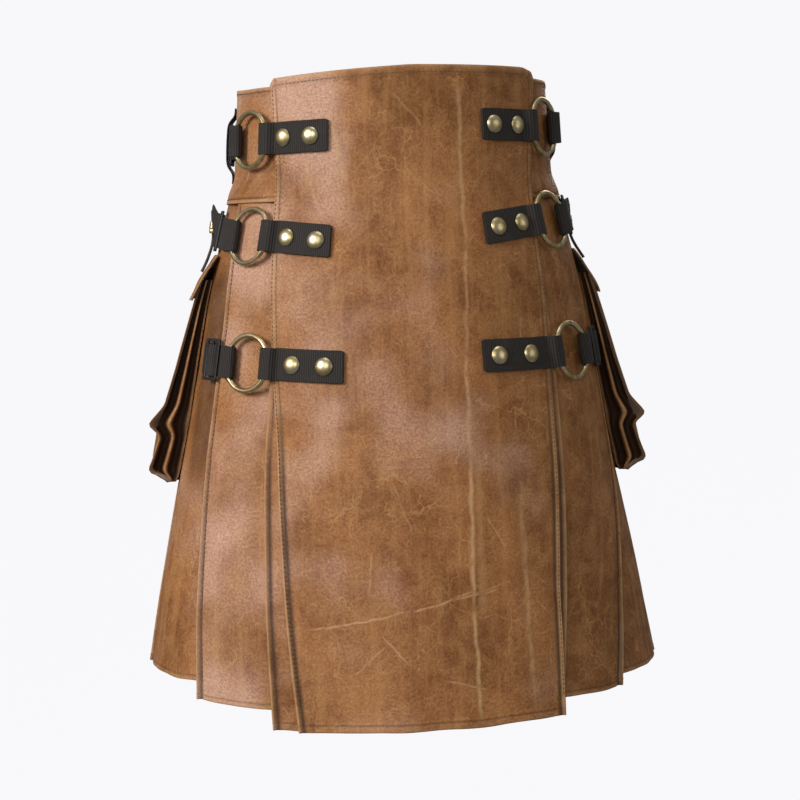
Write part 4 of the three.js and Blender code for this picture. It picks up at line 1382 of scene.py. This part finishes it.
# Pockets
def make_pocket(side):
    """A cargo pocket: flat back, bellows sides folded in twice, and a front that flares low down."""
    sign = SIGN[side]
    half = POCKET_WIDTH / 2
    middle_at, corner_at = smoothed(POCKET, "middle", 3), smoothed(POCKET, "corner", 3)
    top, bottom = POCKET[0]["z"], POCKET[-1]["z"]
    fine = [1, 0.985, 0.96, 0.92, 0.86, 0.75, 0.6, 0.45, 0.3, 0.15]
    front = [-share for share in fine] + [0] + list(reversed(fine))
    bellows = [(0.0, 0.0), (0.1, -5), (0.2, -11), (0.3, -11), (0.4, -5), (0.47, -0.8), (0.53, -0.8),
               (0.6, -5), (0.7, -11), (0.8, -11), (0.9, -5)]
    back = [half * (0.8 - 0.2 * i) for i in range(9)]
    section = [("back", u, 0) for u in reversed(back)]
    section += [("side", 1, step) for step in bellows]
    section += [("front", share * half, 0) for share in reversed(front)]
    section += [("side", -1, step) for step in reversed(bellows)]
    section.append(section[0])
    fallen = stations(top - bottom, 1.5, 6, 3.4)
    rows = fallen + [top - bottom + 0.01]

    def front_out(share, z):
        corner = bell(1 - abs(share), 0.09)
        sag = 2.2 * noise.noise(Vector((share * 2.2, z / 45, 17 + side))) * ease((1 - abs(share)) / 0.3)
        return middle_at(z) + (corner_at(z) - middle_at(z)) * corner + min(0.5, sag)

    def lay(spot, down):
        kind, first, second = spot
        z = max(bottom, top - down)
        base = fold_face(z) + POCKET_GAP
        closing = ease((down - (top - bottom) + 9) / 9)
        rub_and_highlight, dirt_and_shade = 0.0, 0.0
        if kind == "back":
            u, n = first, base
        elif kind == "front":
            share = first / half
            u, n = first, base + front_out(share, z)
            edge = half - abs(first)
            n += 0.9 * bell(edge - 1, 1.4) - 0.5 * bell(edge - 5, 1.6)
            # The front's edge ridge is painted pale, partly as highlight, and its stitch valley dark,
            # partly as painted shade
            rub_and_highlight, dirt_and_shade = 0.85 * bell(edge - 0.7, 1.5), 0.45 * bell(edge - 5, 1.8)
            rub_and_highlight = max(rub_and_highlight, 0.5 * bell(down - 1, 1.8))
        else:
            depth, fold = second
            reach = front_out(1, z)
            size = clamp(reach / 22) * (1 - 0.85 * closing)
            u, n = first * (half + fold * size), base + reach * depth
            # Bellows crests painted pale as highlights, and their inner folds dark as painted shade
            rub_and_highlight = 0.9 * bell(fold, 1.4) * (1 if 0.3 < depth < 0.7 else 0.3)
            dirt_and_shade = 0.97 * ease((-fold - 1) / 3.5)
        n = n + (base + 5 - n) * closing * (0.75 if kind == "front" else 0.4)
        u *= 1 + 0.006 * noise.noise(Vector((z / 26, side, 3)))
        point = place(side * walk(POCKET_MIDDLE, u, z), z, n)
        return point, (u, z + (0 if kind == "front" else 260)), rub_and_highlight, dirt_and_shade

    mesh = draped(section, rows, lay, shift=(7000 + side * 300, 0), turned=side > 0)
    bmesh.ops.remove_doubles(mesh, verts=mesh.verts, dist=1e-5)
    low = [edge for edge in mesh.edges
           if edge.is_boundary and all(vert.co.z < (bottom + 1) * MM for vert in edge.verts)]
    bmesh.ops.holes_fill(mesh, edges=low, sides=0)
    leather_piece(f"{sign}_cargo_pocket", mesh, f"pocket_{sign}",
                  tone=0.1 if side < 0 else 0.2)


def make_flap(side):
    """The pocket's flap: a piece with turned, stitched edges that stands off the pocket low down."""
    sign = SIGN[side]
    half = POCKET_WIDTH / 2 + 3
    run = smooth_run([knot(z, out + LEATHER / 2) for z, out in FLAP], 1.5)
    columns = [step - half for step in stations(2 * half, 1.2, 9, 5)]
    whole = len(run) - 1

    def lay(u, index):
        spot = run[index]
        near_side, near_low = half - abs(u), (whole - index) * 1.5
        height, rub_and_highlight, dirt_and_shade = edge_relief(min(near_side, near_low), -100)
        wave = 1.3 * noise.noise(Vector((u / 30, index / 12, 41 + side))) * ease(index / 12)
        rub_and_highlight = max(rub_and_highlight, 0.8 * bell(min(near_side, near_low), 1.6))
        z = spot["u"] + (1.5 * noise.noise(Vector((u / 40, 2, 43)))) * index / whole
        point = place(side * walk(POCKET_MIDDLE, u, z), z, spot["n"] + 0.6 * height + wave)
        return point, (u, z), rub_and_highlight, dirt_and_shade

    mesh = draped(columns, list(range(len(run))), lay, shift=(8000 + side * 300, 500), turned=side < 0)
    leather_piece(f"{sign}_pocket_flap", mesh, f"pocket_flap_{sign}",
                  tone=0.35)


# Laces and beads
def make_lace(sign):
    """A thin lace from the strap's tip, through its bead, with one free end."""
    points = LACES[sign]
    data = bpy.data.curves.new(f"{sign}_lace", "CURVE")
    data.dimensions = "3D"
    data.bevel_depth = CORD_RADIUS * MM
    data.bevel_resolution = 3
    data.use_fill_caps = True
    spline = data.splines.new("POLY")
    spline.points.add(len(points) - 1)
    for spot, point in zip(spline.points, points):
        spot.co = (*(value * MM for value in point), 1)
    data.materials.append(lace_leather)
    made = new_object(f"{sign}_lace", data)
    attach(made, "root")
    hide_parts(f"lace_{sign}")
    length, outer, neck, hole = BEAD["length"], BEAD["outer"], BEAD["neck"], BEAD["hole"]
    profile = [(hole, 0.3), (hole + 0.4, 0), (outer - 0.4, 0), (outer, 0.5), (outer, length * 0.3),
               (outer - 0.5, length * 0.36), (outer, length * 0.42), (outer - 0.2, length * 0.55),
               (neck + 0.2, length * 0.7), (neck + 0.5, length * 0.76),
               (neck, length * 0.82), (neck, length - 0.4),
               (neck - 0.3, length), (hole + 0.1, length), (hole, length - 0.3), (hole, 0.3)]
    x, y, top = points[0]
    spot = Matrix.Translation((x * MM, y * MM, (top - BEAD["below"] - length) * MM))
    bead = set_piece(f"{sign}_lace_bead", turned_mesh(profile, 28), spot, brass, f"bead_{sign}")


# The surroundings
def make_stage():
    """A pale floor that sweeps up all round into a backdrop."""
    mesh = bmesh.new()
    radius, rise, depth, bend = 3.6, 1.5, -1.02, 1.2
    profile = [(0, 0), (radius - bend, 0)]
    for i in range(1, 9):
        angle = math.pi / 2 * i / 8
        profile.append((radius - bend + bend * math.sin(angle), bend * (1 - math.cos(angle))))
    profile.append((radius, bend + rise))
    points = [mesh.verts.new((across, 0, depth + up)) for across, up in profile]
    edges = [mesh.edges.new(pair) for pair in zip(points, points[1:])]
    bmesh.ops.spin(mesh, geom=points + edges, axis=(0, 0, 1), cent=(0, 0, 0),
                   steps=64, angle=2 * math.pi, use_merge=True)
    bmesh.ops.remove_doubles(mesh, verts=mesh.verts, dist=1e-5)
    data = bpy.data.meshes.new("floor")
    mesh.to_mesh(data)
    mesh.free()
    data.polygons.foreach_set("use_smooth", [True] * len(data.polygons))
    made, tree, shader = new_material("pale_floor", {
        "Base Color": (0.02, 0.02, 0.02, 1), "Roughness": 1,
        "Specular IOR Level": 0, "Emission Strength": 1,
    })
    seen = put(tree, "ShaderNodeLightPath").outputs["Is Camera Ray"]
    glow = blended(tree, seen, (0.16, 0.16, 0.16, 1), (0.925, 0.925, 0.95, 1))
    tree.links.new(glow, shader.inputs["Emission Color"])
    data.materials.append(made)
    new_object("floor", data)


# The lamps, all aimed at the kilt's middle
LIGHTS_AIM = Vector((0, 0, -0.25))
LIGHTS = [
    {"name": "key", "at": (-2.7, -1.7, 1.1), "size": 1.5, "power": 94, "colour": (1.0, 0.965, 0.95)},
    {"name": "front", "at": (-0.8, -3.0, 0.9), "size": 1.8, "power": 23, "colour": (1.0, 0.99, 0.97)},
    {"name": "fill", "at": (2.5, -1.6, 0.4), "size": 2.0, "power": 9, "colour": (1.0, 0.96, 0.86)},
    {"name": "top", "at": (0.2, -0.2, 2.4), "size": 1.8, "power": 14, "colour": (1.0, 1.0, 1.0)},
    {"name": "back", "at": (0.8, 2.6, 1.1), "size": 2.0, "power": 42, "colour": (1.0, 0.93, 0.85)},
]


def make_lights():
    for row in LIGHTS:
        data = bpy.data.lights.new(row["name"], "AREA")
        data.shape = "DISK"
        data.size = row["size"]
        data.energy = row["power"]
        data.color = row["colour"]
        lamp = new_object(row["name"], data)
        lamp.location = row["at"]
        aim = LIGHTS_AIM - lamp.location
        lamp.rotation_euler = aim.to_track_quat("-Z", "Y").to_euler()
    world = bpy.data.worlds.new("studio")
    world.use_nodes = True
    world.node_tree.nodes["Background"].inputs["Color"].default_value = (1, 1, 1, 1)
    world.node_tree.nodes["Background"].inputs["Strength"].default_value = 0.27
    bpy.context.scene.world = world
    bpy.context.scene.view_settings.view_transform = "Standard"


for lace_side in SIGN.values():
    make_lace(lace_side)
make_yoke()
make_aprons()
for pleat_side in (-1, 1):
    for pleat_index in range(len(FOLD_SHARES)):
        make_pleat(pleat_index, pleat_side)
make_back_panel()
for pocket_side in (-1, 1):
    make_pocket(pocket_side)
    make_flap(pocket_side)
    make_belt_loop(pocket_side)
make_fastenings()
make_stitching()
make_stage()
make_lights()
